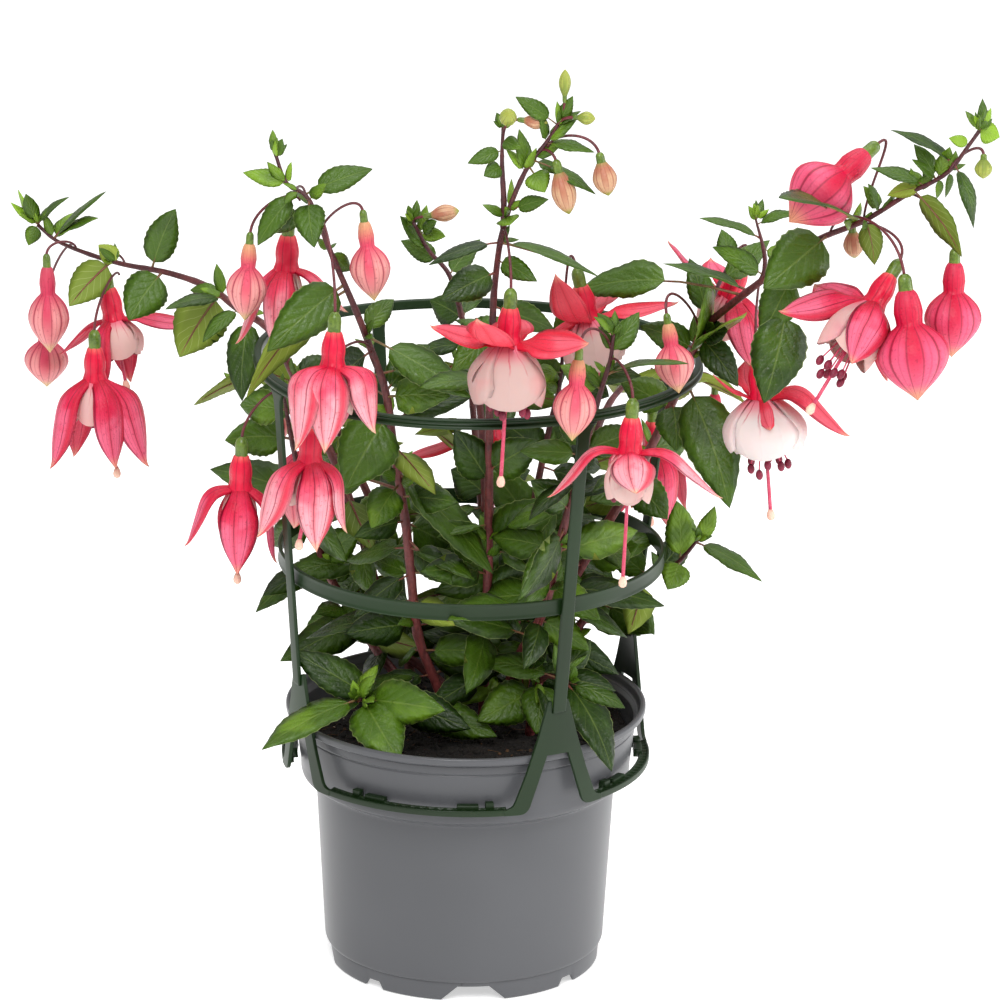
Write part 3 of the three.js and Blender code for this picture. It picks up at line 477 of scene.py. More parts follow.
def sepal_finish(name, base, middle, outer, tip, vein, depth):
    """Colour from the sepal's base to its tip, redder down its middle and towards its margins, with three
    strong dark veins and finer ones between, a scatter of specks and a crepe texture."""
    tree = material(name, Specular_IOR_Level=0.3, Subsurface_Weight=0.05, Subsurface_Scale=0.002)
    u, v = tree.along()
    mottle = tree.mottle(80.0, 900.0)
    veins = tree.streaks(3.0, 0.07, 0.08).larger(tree.streaks(9.0, 0.13, 0.05) * 0.42)
    place = v + mottle["Coarse"].spread(-0.1, 0.1)
    lower = tree.mix(place.scaled(0.02, 0.36), base, middle)
    upper = tree.mix(place.scaled(0.26, 0.62), lower, outer)
    whole = tree.mix(v.scaled(0.84, 0.98), upper, tip)
    off = abs(u - 0.5)
    red = off.scaled(0.34, 0.5, 0.0, 0.85).larger(off.scaled(0.0, 0.13, 0.45, 0.0))
    edged = tree.mix(red, whole, base)
    specked = tree.mix(tree.noise(620.0).scaled(0.6, 0.7, 0.0, 0.4) * depth, edged, vein)
    tree.put(Base_Color=tree.mix(veins * depth, specked, vein),
             Roughness=mottle["Coarse"].spread(0.38, 0.52),
             Normal=tree.bump(mottle["Fine"] * 0.6 - veins, 0.4, 0.0006))
    return tree.owner


def tube_finish():
    """Deep pink-red, paler where it meets the ovary, with dark lines down its ribs and a glossy skin."""
    tree = material("Flower tube", Specular_IOR_Level=0.35, Subsurface_Weight=0.04, Subsurface_Scale=0.002)
    _, v = tree.along()
    mottle = tree.mottle(120.0, 900.0)
    streaks = tree.streaks(8.0, 0.14, 0.04)
    body = tree.mix(v.scaled(0.78, 1.0), "#d8143c", "#ea5c58")
    shaded = tree.mix(mottle["Coarse"] * 0.4, body, "#be0e32")
    tree.put(Base_Color=tree.mix(streaks * 0.65, shaded, "#8e0a2a"),
             Roughness=mottle["Coarse"].spread(0.3, 0.42),
             Normal=tree.bump(mottle["Fine"] - streaks, 0.25, 0.0004))
    return tree.owner


def petal_finish(name, white, flush):
    """Creamy white, flushed with pink at the base and down the sides, with a few red veins near the base."""
    tree = material(name, Roughness=0.6, Specular_IOR_Level=0.25, Subsurface_Weight=0.1,
                    Subsurface_Scale=0.003)
    u, v = tree.along()
    mottle = tree.mottle(60.0, 700.0)
    streaks = tree.streaks(4.0, 0.1, 0.16)
    blotch = mottle["Coarse"].scaled(0.3, 1) * abs(u - 0.5).scaled(0.22, 0.5, 0.0, 0.6)
    sided = tree.mix(blotch, tree.mix(tree.tint() * 0.45, white, flush), flush)
    based = tree.mix(v.scaled(0.02, 0.34, 0.85, 0.0), sided, "#e0486c")
    short = (v + mottle["Coarse"].spread(-0.14, 0.14)).scaled(0.1, 0.48, 0.85, 0.0)
    tree.put(Base_Color=tree.mix(streaks * short, based, "#b81c48"),
             Normal=tree.bump(mottle["Coarse"] + streaks, 0.16, 0.0006))
    return tree.owner


def bud_finish(name, base, top, body, tip, seam):
    """A bud's four sepals, still joined. Its map's v is 0 at the ovary and 1 at the tip. Each quarter of u is
    one sepal: flushed along its middle between two dark lines, pale at its sides, with a dark seam to the
    next."""
    tree = material(name, Specular_IOR_Level=0.32, Subsurface_Weight=0.05, Subsurface_Scale=0.002)
    u, v = tree.along()
    mottle = tree.mottle(90.0, 800.0)
    quarter = u.from_line(4.0)
    seams = quarter.scaled(0.455, 0.49)
    ribs = abs(quarter - 0.15).scaled(0.0, 0.035, 0.85, 0.0)
    faint = abs(quarter - 0.31).scaled(0.0, 0.03, 0.4, 0.0)
    flush = quarter.scaled(0.08, 0.26, 0.95, 0.0).larger(quarter.scaled(0.4, 0.5, 0.0, 0.5))
    tube_colour = tree.mix(v.scaled(0.12, 0.38), base, top)
    body_colour = tree.mix(flush * v.scaled(0.98, 0.5, 0.0, 1.0), body, top)
    whole = tree.mix(v.scaled(0.37, 0.6), tube_colour, body_colour)
    whole = tree.mix(v.scaled(0.84, 0.98), whole, tip)
    specked = tree.mix(tree.noise(520.0).scaled(0.6, 0.72, 0.0, 0.35), whole, seam)
    lines = seams.larger(ribs).larger(faint) * v.scaled(0.16, 0.46, 0.4, 1.0)
    tree.put(Base_Color=tree.mix(lines * 0.7, specked, seam),
             Roughness=mottle["Coarse"].spread(0.36, 0.5),
             Normal=tree.bump(mottle["Fine"] - seams, 0.25, 0.0005))
    return tree.owner


def sepal_pair(name, outer, inner):
    """The finishes of a sepal's outer and inner faces."""
    return sepal_finish(f"{name} sepal outer face", *outer), sepal_finish(f"{name} sepal inner face", *inner)


POT_PLASTIC = plastic("Grey pot plastic", "#4f5053", "#555659", 0.33, 0.0)
CAGE_PLASTIC = plastic("Green cage plastic", "#10220a", "#173011", 0.4, 0.05)
COMPOST = soil("Damp compost", "#060403", "#1d140d")
FIBRE = soil("Compost fibre", "#2e1d12", "#6a4c30")
GRIT = soil("Pale grit", "#a39c8c", "#cfc8b8")
LEAF_TOP, LEAF_BACK = leaf_top(), leaf_back()
STEM = stem_finish("Stem", "#7c3836", "#43171e")
STALK = stem_finish("Leaf stalk", "#7d3c34", "#6d7a3a")
PEDICEL = stem_finish("Flower stalk", "#4a161e", "#6a242c", 0.4)
OVARY = plain_tissue("Ovary", "#3e5616", "#6c842e", 0.3)
TUBE = tube_finish()
SEPALS = {
    "pale": sepal_pair("Pale", ("#c80c34", "#e04a68", "#ec9ca6", "#e8b89a", "#74082a", 0.85),
                       ("#d0123a", "#e2526a", "#e6909a", "#e4b09a", "#8a0e30", 0.6)),
    "deep": sepal_pair("Deep", ("#bc0830", "#d4244c", "#e0607e", "#d8907a", "#740626", 0.85),
                       ("#c20a34", "#d82c48", "#e0546c", "#d88878", "#8a0a2c", 0.6)),
    "coral": sepal_pair("Coral", ("#c80c2c", "#da2844", "#e25a6c", "#e09a84", "#96102c", 0.6),
                        ("#d0122e", "#dc2c44", "#e64c5c", "#e69684", "#a8142e", 0.45)),
}
PETALS = {
    "pale": petal_finish("Pale petal", "#d8beb6", "#cf9492"),
    "deep": petal_finish("Petal", "#d6b2aa", "#d27c8a"),
    "coral": petal_finish("Cream petal", "#bd9f99", "#c88a88"),
    "white": petal_finish("White petal", "#dccfcc", "#d8b0b0"),
}
SEPALS["white"] = SEPALS["coral"]
FILAMENT = plain_tissue("Filament", "#b8284e", "#d45470")
ANTHER = plain_tissue("Anther", "#5e0624", "#8e0e38", 0.55)
STIGMA = plain_tissue("Stigma", "#e8a898", "#f2ccb4", 0.5)
BUD_SKINS = {
    "pale": bud_finish("Pale bud", "#cf9870", "#d2445e", "#de9490", "#cdb078", "#80102e"),
    "deep": bud_finish("Deep bud", "#c42a48", "#c40c38", "#da5072", "#d28c6c", "#740a28"),
    "rosy": bud_finish("Rosy bud", "#c4485c", "#c83454", "#de8e8e", "#cdb078", "#80102e"),
    "young": bud_finish("Young bud", "#7c8c3a", "#ac6e56", "#c49c7a", "#8c963a", "#8a4838"),
    "green": bud_finish("Green bud", "#6a7e2c", "#7c8c38", "#9aa448", "#98a040", "#6a5a34"),
}

# ---------------------------------------------------------------- what grows
# Each shoot is its stems, the main one first: the points that the stem grows through, and its leaves as
# [fraction of the stem, tip x, y, z, width, stalk as a share of the length, lightness of its green
# from 0 to 1]. A negative width shows the underside. The stalk is LEAF_USUAL's where it isn't given, and
# so is the lightness, below 0, which then follows from the leaf's length.
LEAF_USUAL = [0.1, -1]
SHOOTS = {
    "shoot_left_front": [
        ([[-7, 0, 128], [-14, -2, 147], [-25, -8, 178], [-29, -14, 213], [-32, -20, 245], [-38, -30, 288],
          [-42, -42, 321], [-49, -54, 346], [-57, -68, 372], [-69, -82, 405], [-74, -84, 419],
          [-81, -82, 433], [-91, -76, 438], [-97, -72, 453]],
         [[0.31, -7, -43, 219, 16, 0.27], [0.4, -49, -50, 251, 19, 0.18, 0.6],
          [0.52, -62, -58, 274, 32, 0.13], [0.42, 14, -37, 223, 18], [0.67, 2, -74, 328, 19, 0.22, 0.45],
          [0.77, -100, -94, 356, 24], [0.76, -111, -84, 329, -18, 0.12], [0.91, -76, -104, 412, 16, 0.11],
          [0.93, -105, -85, 408, 13, 0.16], [0.92, -48, -77, 446, 13, 0.2], [0.95, -113, -71, 442, 9],
          [0.99, -93, -73, 460, 6, 0.13], [0.9, -100, -73, 412, 12, 0.26], [0.68, -38, -41, 370, 12],
          [0.17, -85, 10, 171, 14, 0.12], [0.39, -72, 1, 267, 21, 0.48], [0.25, -50, 11, 215, 13],
          [0.56, -20, -17, 340, 18], [0.83, -59, -70, 392, 9], [0.64, -71, -24, 314, 16]])],
    "shoot_top_centre": [
        ([[9, 2, 132], [10, -6, 177], [11, -18, 225], [11, -34, 273], [11, -56, 322], [12, -78, 364],
          [13, -92, 391], [17, -106, 424], [27, -112, 453], [38, -116, 470], [43, -117, 478]],
         [[0.76, -14, -108, 387, 18], [0.81, -20, -113, 406, 7, 0.17], [0.81, 65, -110, 400, 7],
          [0.78, 34, -115, 399, 11, 0.13], [0.86, 39, -121, 442, 8, 0.28], [0.85, 20, -122, 429, 12, 0.14],
          [0.97, 61, -123, 466, 7, 0.12], [1, 22, -117, 492, 9, 0.24], [0.93, 37, -124, 446, 13, 0.32],
          [0.94, 62, -123, 445, 5, 0.27], [1, 50, -118, 493, 7, 0.13], [0.92, 24, -112, 475, 8],
          [0.38, -7, -49, 304, 21], [0.4, 37, -57, 301, 22], [0.25, -14, -38, 252, 20],
          [0.18, 41, -22, 226, 22], [0.28, 48, -47, 266, 23], [0.65, -8, -90, 346, 16],
          [0.7, 43, -78, 365, 15]]),
        ([[17, -106, 424], [17, -108, 438], [16, -110, 456], [16, -112, 475]],
         [[0.62, 7, -116, 452, 9], [0.78, -1, -115, 458, 8], [1, 13, -112, 483, 5],
          [0.88, 25, -121, 467, 8]])],
    "shoot_front_right": [
        ([[21, -2, 134], [25, -12, 164], [38, -30, 196], [43, -40, 216], [47, -50, 242], [52, -58, 265],
          [59, -70, 299], [67, -84, 336], [71, -94, 354], [72, -98, 368]],
         [[0.3, -9, -108, 221, 12, 0.36, 0.5], [0.36, 69, -65, 208, 17], [0.47, 28, -72, 226, 16],
          [0.56, 32, -78, 286, 18], [0.71, 87, -60, 308, 16], [0.71, 47, -60, 323, 16],
          [0.9, 110, -104, 355, 8], [0.96, 85, -91, 378, 12], [1, 64, -98, 379, 7],
          [0.27, 64, -40, 183, 16], [0.86, 46, -84, 348, 14], [0.36, 103, -35, 206, 16, 0.22]])],
    "shoot_right_reach": [
        ([[24, 20, 132], [38, 26, 166], [62, 20, 213], [86, 4, 262], [103, -12, 304], [118, -34, 351],
          [129, -48, 368], [160, -80, 403], [173, -94, 417], [194, -108, 430], [214, -122, 447],
          [231, -134, 460], [240, -142, 475], [245, -146, 484]],
         [[0.47, 134, -57, 266, 29, 0.17, 0.3], [0.51, 119, -72, 386, 8, 0.1, 0.6],
          [0.5, 138, -80, 373, 6, 0.1, 0.6], [0.53, 137, -52, 329, 16],
          [0.73, 145, -96, 367, 20, 0.36, 0.4], [0.77, 145, -112, 396, 29, 0.1, 0.46],
          [0.71, 147, -111, 337, 28, 0.42], [0.8, 148, -172, 456, 11, 0.16], [0.82, 199, -118, 410, -12],
          [0.905, 195, -123, 460, 8], [0.89, 240, -136, 419, -8], [0.95, 203, -132, 481, 6],
          [0.95, 244, -147, 436, 7], [1, 242, -148, 492, 4, 0.1, 1], [1, 255, -146, 481, 11, 0.05, 0.95],
          [0.98, 231, -140, 479, 6], [1, 250, -148, 496, 4, 0.1, 1], [0.92, 214, -134, 467, 5],
          [0.9, 204, -118, 445, -8], [0.925, 227, -132, 447, 4], [0.94, 231, -134, 448, 4],
          [0.84, 194, -122, 452, 5], [0.43, 107, -34, 289, 21], [0.42, 78, 8, 315, 19],
          [0.51, 87, -35, 356, 16], [0.62, 55, -16, 369, 20, 0.45, 0.5], [0.53, 131, -54, 359, 13],
          [0.31, 63, -16, 257, 19], [0.31, 104, -12, 246, 20], [0.19, 90, 4, 227, 21],
          [0.19, 49, 40, 223, 19], [0.36, 116, 17, 281, 18]]),
        ([[129, -48, 368], [140, -46, 377], [148, -44, 384], [149, -44, 396], [144, -46, 415]],
         [[0.27, 97, -52, 393, 6], [0.47, 122, -52, 402, 12], [0.81, 115, -49, 416, 6],
          [0.95, 165, -54, 420, 6], [0.71, 163, -34, 390, 9], [0.98, 140, -46, 422, 4]]),
        ([[118, -34, 351], [124, -20, 366], [133, -8, 383]],
         [[0.27, 112, -16, 387, 14], [0.76, 154, 0, 393, 13], [1, 129, 2, 398, 11]])],
    "shoot_far_left": [
        ([[-4, 24, 131], [-8, 26, 137], [-25, 36, 148], [-44, 44, 159], [-50, 46, 193], [-58, 44, 222],
          [-71, 38, 261], [-89, 32, 302], [-104, 37, 331], [-124, 52, 341], [-138, 68, 347],
          [-161, 90, 349], [-187, 112, 348], [-207, 126, 350], [-226, 140, 354], [-236, 146, 361]],
         [[0.8, -157, 87, 385, 18], [0.78, -182, 77, 326, 24], [0.87, -216, 105, 326, -21],
          [0.86, -201, 119, 357, -11], [1, -218, 141, 378, 5], [0.97, -197, 130, 384, 7],
          [0.97, -201, 126, 370, 6], [1, -241, 143, 350, 9], [0.67, -154, 62, 310, -29],
          [0.66, -160, 40, 342, 11], [0.63, -140, 34, 326, 8], [0.61, -119, 27, 296, 18],
          [0.67, -149, 74, 344, 9], [0.58, -90, 52, 345, 16], [0.5, -116, 48, 275, 21],
          [0.5, -68, 48, 313, 19], [0.39, -90, 58, 244, 19], [0.29, -37, 64, 232, 18],
          [0.22, -74, 62, 176, 19], [1, -247, 150, 380, 5, 0.1, 1], [1, -251, 148, 373, 4, 0.1, 1]])],
    "shoot_left_low": [
        ([[-24, 12, 131], [-28, 16, 139], [-45, 30, 154], [-62, 50, 173], [-76, 50, 198], [-86, 30, 242],
          [-92, 4, 282], [-95, -22, 314]],
         [[0.63, -137, 40, 255, 21], [0.83, -126, -12, 286, 21], [0.94, -119, 3, 301, 19],
          [0.43, -113, 38, 176, 14], [0.36, -91, 70, 196, 19], [0.43, -57, 30, 225, 19],
          [0.54, -106, 59, 207, 18], [0.3, -90, 60, 148, 17], [0.83, -73, 24, 287, 18]])],
    "shoot_back_left": [
        ([[2, 42, 131], [7, 56, 179], [9, 62, 233], [5, 62, 289], [-4, 58, 333], [-11, 52, 359],
          [-22, 46, 374], [-30, 42, 390]],
         [[0.86, 5, 68, 375, 12], [0.9, -37, 55, 377, 11], [0.93, -37, 40, 394, 8], [0.99, -33, 43, 399, 6],
          [0.97, -13, 36, 384, 8], [0.76, -22, 78, 339, 18], [0.7, 21, 80, 328, 19],
          [0.6, -16, 78, 295, 21], [0.54, 27, 84, 283, 21], [0.39, -10, 82, 244, 22],
          [0.39, 33, 86, 243, 22], [0.28, -15, 82, 193, 21], [0.2, 33, 80, 188, 21],
          [0.1, -20, 68, 163, 19]])],
    "shoot_base_right": [
        ([[34, -14, 130], [36, -22, 152], [42, -32, 166], [54, -42, 166]],
         [[0.61, 37, -47, 139, 21], [0.94, 76, -78, 130, 18], [1, 83, -50, 155, 11],
          [0.48, 6, -39, 143, 24], [0.86, 65, -25, 184, 14]])],
    "shoot_base_left": [
        ([[-20, -8, 130], [-22, -11, 138], [-33, -26, 149], [-43, -40, 155], [-55, -52, 159]],
         [[1, -104, -84, 142, 17, 0.1, 0.6], [0.91, -10, -76, 162, 24, 0.1, 0.56],
          [0.96, -33, -84, 136, 28, 0.1, 0.56], [0.85, -91, -39, 181, 17], [1, -58, -56, 171, 6],
          [0.26, 17, -37, 134, 20], [0.58, 3, -48, 142, 21]])],
    "shoot_right_low": [
        ([[38, 30, 130], [41, 33, 140], [55, 44, 162], [76, 40, 188], [98, 24, 205], [110, 10, 215],
          [120, -4, 232]],
         [[0.99, 154, -17, 214, 8], [0.86, 109, 2, 252, 17, 0.1, 0.66], [0.86, 105, -4, 205, 16, 0.1, 0.6],
          [0.72, 118, 36, 226, 16], [0.67, 70, 47, 213, 16], [0.51, 100, 32, 168, 16],
          [0.51, 55, 54, 197, 18], [0.25, 71, 34, 142, 16], [0.25, 39, 58, 173, 18],
          [1, 129, 0, 250, 9, 0.1, 0.7]])],
    "shoot_centre": [
        ([[16, 12, 130], [28, 10, 194], [35, 0, 252], [42, -12, 295], [47, -22, 322], [48, -24, 338]],
         [[0.25, 1, 24, 195, 21], [0.25, 49, 26, 211, 21], [0.5, 11, 10, 265, 22], [0.5, 64, 10, 266, 21],
          [0.7, 16, -10, 298, 20], [0.7, 68, 0, 301, 19], [0.89, 31, -26, 340, 18], [1, 87, -14, 350, 18],
          [1, 46, -30, 366, 11]])],
    "shoot_rear_left": [
        ([[-30, 52, 130], [-38, 66, 190], [-60, 74, 245], [-80, 84, 280], [-105, 108, 290],
          [-128, 128, 278]],
         [[0.3, -70, 92, 200, 20], [0.3, -20, 100, 215, 20], [0.55, -92, 64, 262, 20],
          [0.55, -60, 116, 262, 22], [0.75, -118, 82, 300, 20], [0.75, -88, 140, 268, 22],
          [0.92, -150, 110, 270, 20], [0.96, -136, 162, 262, 20]])],
    "shoot_rear_centre": [
        ([[14, 58, 130], [10, 76, 190], [4, 92, 250], [0, 108, 284], [-4, 132, 292], [-6, 152, 284]],
         [[0.3, -28, 104, 196, 20], [0.3, 44, 106, 205, 20], [0.5, 36, 112, 230, 22],
          [0.55, -34, 124, 262, 22], [0.78, -44, 150, 268, 21], [0.78, 34, 142, 306, 21],
          [0.97, -34, 158, 262, 20], [0.99, 22, 162, 270, 20]])],
    "shoot_rear_right": [
        ([[30, 44, 130], [45, 66, 190], [62, 80, 245], [76, 94, 280], [98, 118, 290], [118, 138, 280]],
         [[0.3, 86, 66, 200, 20], [0.3, 34, 106, 200, 20], [0.55, 98, 70, 260, 21],
          [0.55, 52, 122, 264, 20], [0.76, 128, 92, 292, 20], [0.76, 78, 146, 270, 21],
          [0.95, 152, 136, 266, 20], [0.95, 112, 170, 258, 20]])],
}

# Each flower: where its stalk leaves the shoot, the top of its ovary, a point further down its tube, the
# radius and length of its petal bell, how far the style hangs below the ovary, its colouring, how broad its
# sepals are, its four sepals, and, where it isn't the usual, how far the anthers hang below the bell and how
# far the style's end stands to the right of the axis. A sepal is [azimuth, angle from the axis at the base,
# and further out, roll in degrees, length, width], of which the last three may be left out.
DROOPING = [[-75, 76, 2], [15, 64, -6], [105, 76, 2], [195, 60, 0]]
FLOWERS = {
    "flower_left_outer": [[-189, 108, 343], [-203, 110, 312], [-203, 110, 281], 12, 26, 82, "deep", 22,
        [[-64, 60, 9, 14, 56], [36, 58, 3, 0, 54], [78, 60, 13, 32, 57], [216, 60, 4, 0, 58]], -7, 13],
    "flower_left_inner": [[-186, 112, 347], [-199, 138, 338], [-194, 134, 309], 14, 22, 66, "deep", 18,
        [[-110, 86, 52, 0, 36], [-40, 60, 6, 0, 46], [82, 86, 72, 16, 46], [175, 76, -4]]],
    "flower_left_high": [[-81, -82, 432], [-91, -50, 415], [-92, -50, 391], 9, 24, 40, "pale", 19,
        [[-85, 50, 14, 8], [-10, 60, -4], [84, 80, 40, 0, 36], [180, 40, 0]]],
    "flower_left_front": [[-74, -86, 419], [-65, -128, 386], [-66, -130, 359], 11, 25, 66, "pale", 23,
        [[-48, 90, -2, 8, 52], [-6, 84, -8, 0, 52], [72, 90, 8, 24, 43], [180, 60, 0]]],
    "flower_left_mid": [[-49, -56, 346], [-77, -106, 331], [-78, -108, 305], 11, 25, 72, "pale", 24,
        [[-60, 74, 14, 8, 48], [22, 60, -6, 0, 49], [84, 70, 4, 0, 44], [200, 60, 6]], -7, -3],
    "flower_left_low": [[-95, -24, 315], [-116, -32, 294], [-117, -32, 266], 9, 25, 78, "deep", 22,
        [[-84, 88, 14, 0, 44], [2, 56, -8, 0, 48], [92, 60, 4], [190, 40, 0]]],
    "flower_centre": [[17, -107, 422], [21, -128, 399], [20, -128, 368], 20, 34, 100, "coral", 23,
        [[-85, 88, 104, 22, 35, 19], [-28, 94, 130, 0, 36, 26], [74, 88, 96, 30, 36, 24],
         [176, 88, 92, 0, 36]], 0],
    "flower_centre_back": [[48, -24, 337], [54, -46, 389], [60, -45, 363], 16, 26, 70, "coral", 20,
        [[-22, 104, 160, 0, 44], [75, 92, 90, 10, 44, 16], [165, 88, 90], [-100, 80, 60, 0, 36]]],
    "flower_right_front": [[71, -94, 353], [82, -114, 340], [81, -116, 311], 12, 27, 96, "pale", 21,
        [[-88, 104, 34, 0, 47, 18], [5, 94, 48, 0, 33, 24], [86, 104, 46, 0, 50, 18], [180, 80, 50]]],
    "flower_right_back": [[133, -8, 383], [142, 0, 389], [135, 4, 364], 14, 23, 50, "deep", 20,
        [[-80, 112, 122, 0, 44, 17], [20, 80, 60], [100, 70, 40, 0, 36], [190, 90, 80]]],
    "flower_right_outer": [[185, -100, 423], [211, -126, 415], [196, -140, 393], 15, 32, 90, "deep", 21,
        [[-90, 68, 40, 62, 44, 21], [-142, 84, 98, 70, 42, 22], [8, 66, 14, 0, 50, 22],
         [110, 60, 30, 0, 36]], 6],
    "flower_right_low": [[147, -46, 382], [145, -62, 354], [148, -62, 329], 21, 31, 92, "white", 21,
        [[-80, 108, 134, 0, 25, 11], [6, 60, 50, 0, 22, 12], [80, 114, 36, 10, 52, 21], [185, 90, 98]], 3],
    "flower_rear_left": [[-80, 84, 280], [-84, 112, 272], [-84, 113, 245], 12, 27, 66, "pale", 22, DROOPING],
    "flower_rear_centre": [[-4, 132, 292], [12, 130, 276], [12, 131, 249], 18, 31, 84, "coral", 21,
        [[-80, 88, 70], [10, 86, 60], [100, 88, 74], [190, 80, 40]], 3],
    "flower_rear_right": [[98, 118, 290], [100, 132, 268], [100, 133, 241], 12, 27, 70, "deep", 21,
        [[-60, 74, 10], [30, 66, 0], [120, 74, 6], [210, 70, 2]]],
}

# Each bud: where its stalk leaves the shoot, the top of its ovary, its pointed tip, its radius, and its
# colouring; a young or green one is still closed and small.
BUDS = {
    "flower_right_top": [[194, -106, 431], [200, -104, 468], [156, -126, 433], 17, "deep"],
    "bud_left_upper": [[-214, 126, 354], [-229, 118, 352], [-228, 120, 296], 11, "rosy"],
    "bud_left_lower": [[-214, 134, 350], [-234, 160, 309], [-234, 162, 265], 12, "rosy"],
    "bud_left_high": [[-84, -80, 430], [-109, -76, 413], [-112, -76, 367], 10, "pale"],
    "bud_left_stem": [[-73, -84, 417], [-53, -80, 426], [-47, -80, 379], 10, "pale"],
    "bud_front": [[71, -96, 360], [55, -126, 369], [52, -127, 321], 10.5, "pale"],
    "bud_right_ring": [[118, -34, 351], [99, -74, 373], [106, -80, 333], 9.8, "pale"],
    "bud_right_large": [[178, -98, 421], [211, -150, 414], [219, -160, 353], 17.5, "deep"],
    "bud_right_end": [[210, -118, 444], [237, -130, 422], [237, -134, 368], 13.8, "deep"],
    "bud_peach_small": [[188, -104, 426], [189, -94, 425], [191, -93, 407], 5, "young"],
    "bud_round_end": [[232, -138, 462], [248, -142, 472], [248, -144, 460], 4.2, "green"],
    "bud_top": [[44, -117, 480], [46, -118, 489], [46, -118, 506], 2.9, "green"],
    "bud_top_right": [[41, -117, 474], [50, -121, 483], [61, -124, 483], 3.2, "green"],
    "bud_peach_centre": [[35, -114, 464], [42, -121, 462], [49, -123, 435], 5.9, "young"],
    "bud_peach_right": [[38, -116, 467], [63, -122, 466], [68, -125, 445], 5.8, "young"],
    "bud_top_brown": [[16, -111, 464], [23, -114, 480], [38, -117, 479], 3.6, "young"],
    "bud_top_left": [[16, -112, 472], [18, -116, 478], [19, -131, 487], 4.2, "green"],
    "bud_peach_back": [[-30, 42, 390], [-25, 38, 394], [-6, 36, 398], 4.4, "young"],
    "bud_rear_left": [[-105, 108, 290], [-108, 128, 284], [-108, 130, 239], 10, "pale"],
    "bud_rear_right": [[118, 138, 280], [134, 146, 276], [134, 147, 230], 10, "deep"],
}

# ---------------------------------------------------------------- pot and compost
POT_COLUMNS = 360
POT_BODY = [  # [radius, z], from the middle of the underside out and up to the rim, and down the inside
    [0, 7.2], [70.9, 7.2], [71.6, 10.2], [73.5, 10.4], [74.2, 12], [79.0, 98], [79.4, 99.6], [86.4, 103.8],
    [87.0, 106], [87.1, 110], [89.5, 130.4], [89.1, 130.8], [89.2, 131.4], [90.2, 131.8], [90.6, 136.0],
    [90.2, 136.5], [90.4, 137.0], [93.2, 137.2], [94.8, 138.2], [95.0, 139], [95.0, 141.2], [94.2, 142],
    [92.8, 142], [92.0, 141.0], [91.0, 137.4], [88.4, 134.6], [85.5, 108], [85.0, 104.4], [77.6, 99.6],
    [72.6, 12], [71.0, 8.9], [0, 8.9]]
SKIRT = [[70.4, 1], [70.4, 0], [72.0, 0], [72.6, 1]]  # [radius, share of the height] round the foot ring
SKIRT_TOP, SKIRT_RADIUS, NOTCH_TURN = 11.0, 72, 4.6
# Four notches of each kind: turn, half widths at the foot and at the top, height.
NOTCHES = [[0, 17.0, 8.0, 8.0], [45, 6.0, 3.5, 4.0]]
HEAP_TOP, HEAP_FALL, HEAP_RADIUS = 125.0, 3.2, 86
LUMPS = [[3.2, 17, 1], [1.8, 6, 2], [0.9, 2.2, 3]]  # height, distance apart, seed
POT_INSIDE = [[86.4, 119], [84.8, 107], [76.9, 98], [72.0, 12], [71.0, 10], [0, 10]]  # of the heap, down
SPECKS = [[900, 0.6, 2.4, 0.1], [110, 0.5, 1.5, 0.3], [8, 0.5, 1.0, 0.4]]  # count, least, most, lift: by slot
FIBRES = 70
SPECK_REACH, FIBRE_REACH = 84, 80  # how far from the axis they lie
HEAP_COLUMNS, HEAP_ROWS, HEAP_EDGE = 200, 70, 86.6


def pot_skirt():
    """The thin foot ring as a closed loop of [radius, height share] carried round. Its lower edge rises
    within each notch, as a ramp between the notch's half widths at the foot and at the top."""
    azimuth = np.linspace(0, 360, 2 * POT_COLUMNS, endpoint=False)
    low = 0 * azimuth
    for turn, foot, top, high in NOTCHES:
        arc = np.radians(np.abs((azimuth - NOTCH_TURN - turn + 45) % 90 - 45)) * SKIRT_RADIUS
        low = np.maximum(low, high * np.clip((foot - arc) / (foot - top), 0, 1))
    loop = rounded(SKIRT, 0.4, closed=True)[::-1]
    height = low + loop[:, 1:] * (SKIRT_TOP - low)
    return toward(azimuth) * loop[:, :1, None] + height[..., None] * UP


def pot_piece():
    pot = Piece("pot_shell", POT_PLASTIC)
    pot.surface(turned(rounded(POT_BODY, 0.7), POT_COLUMNS), wrap=True)
    pot.surface(pot_skirt().transpose(1, 0, 2), wrap=True)
    pot.build("pot_plastic", "pot")


def heap_height(x, y):
    """The compost's surface: a low dome, with lumps at three scales."""
    dome = HEAP_TOP - HEAP_FALL * (np.hypot(x, y) / HEAP_RADIUS) ** 2
    return dome + sum(height * value_noise(x, y, cell, seed) for height, cell, seed in LUMPS)


def on_heap(points, lift):
    """Points with their height set to the heap's, and a lift."""
    points[..., 2] = heap_height(points[..., 0], points[..., 1]) + lift
    return points


def specks(rng, count, least, most, lift):
    """count small lumps on the heap: ellipsoids of 5 by 6 faces, turned and stretched at random."""
    azimuth, r = rng.uniform(0, 360, count), SPECK_REACH * np.sqrt(rng.random(count))
    middle = on_heap(toward(azimuth) * r[:, None], lift)
    size = rng.uniform(least, most, (count, 1)) * rng.uniform([0.7, 0.7, 0.4], [1.4, 1.0, 0.8], (count, 3))
    spin = rng.uniform(0, 360, count)
    axes = np.stack([toward(spin), toward(spin + 90), np.broadcast_to(UP, (count, 3))], 1) * size[..., None]
    return middle[:, None, None] + np.einsum("rck,nkx->nrcx", unit_ball(6, 6), axes)


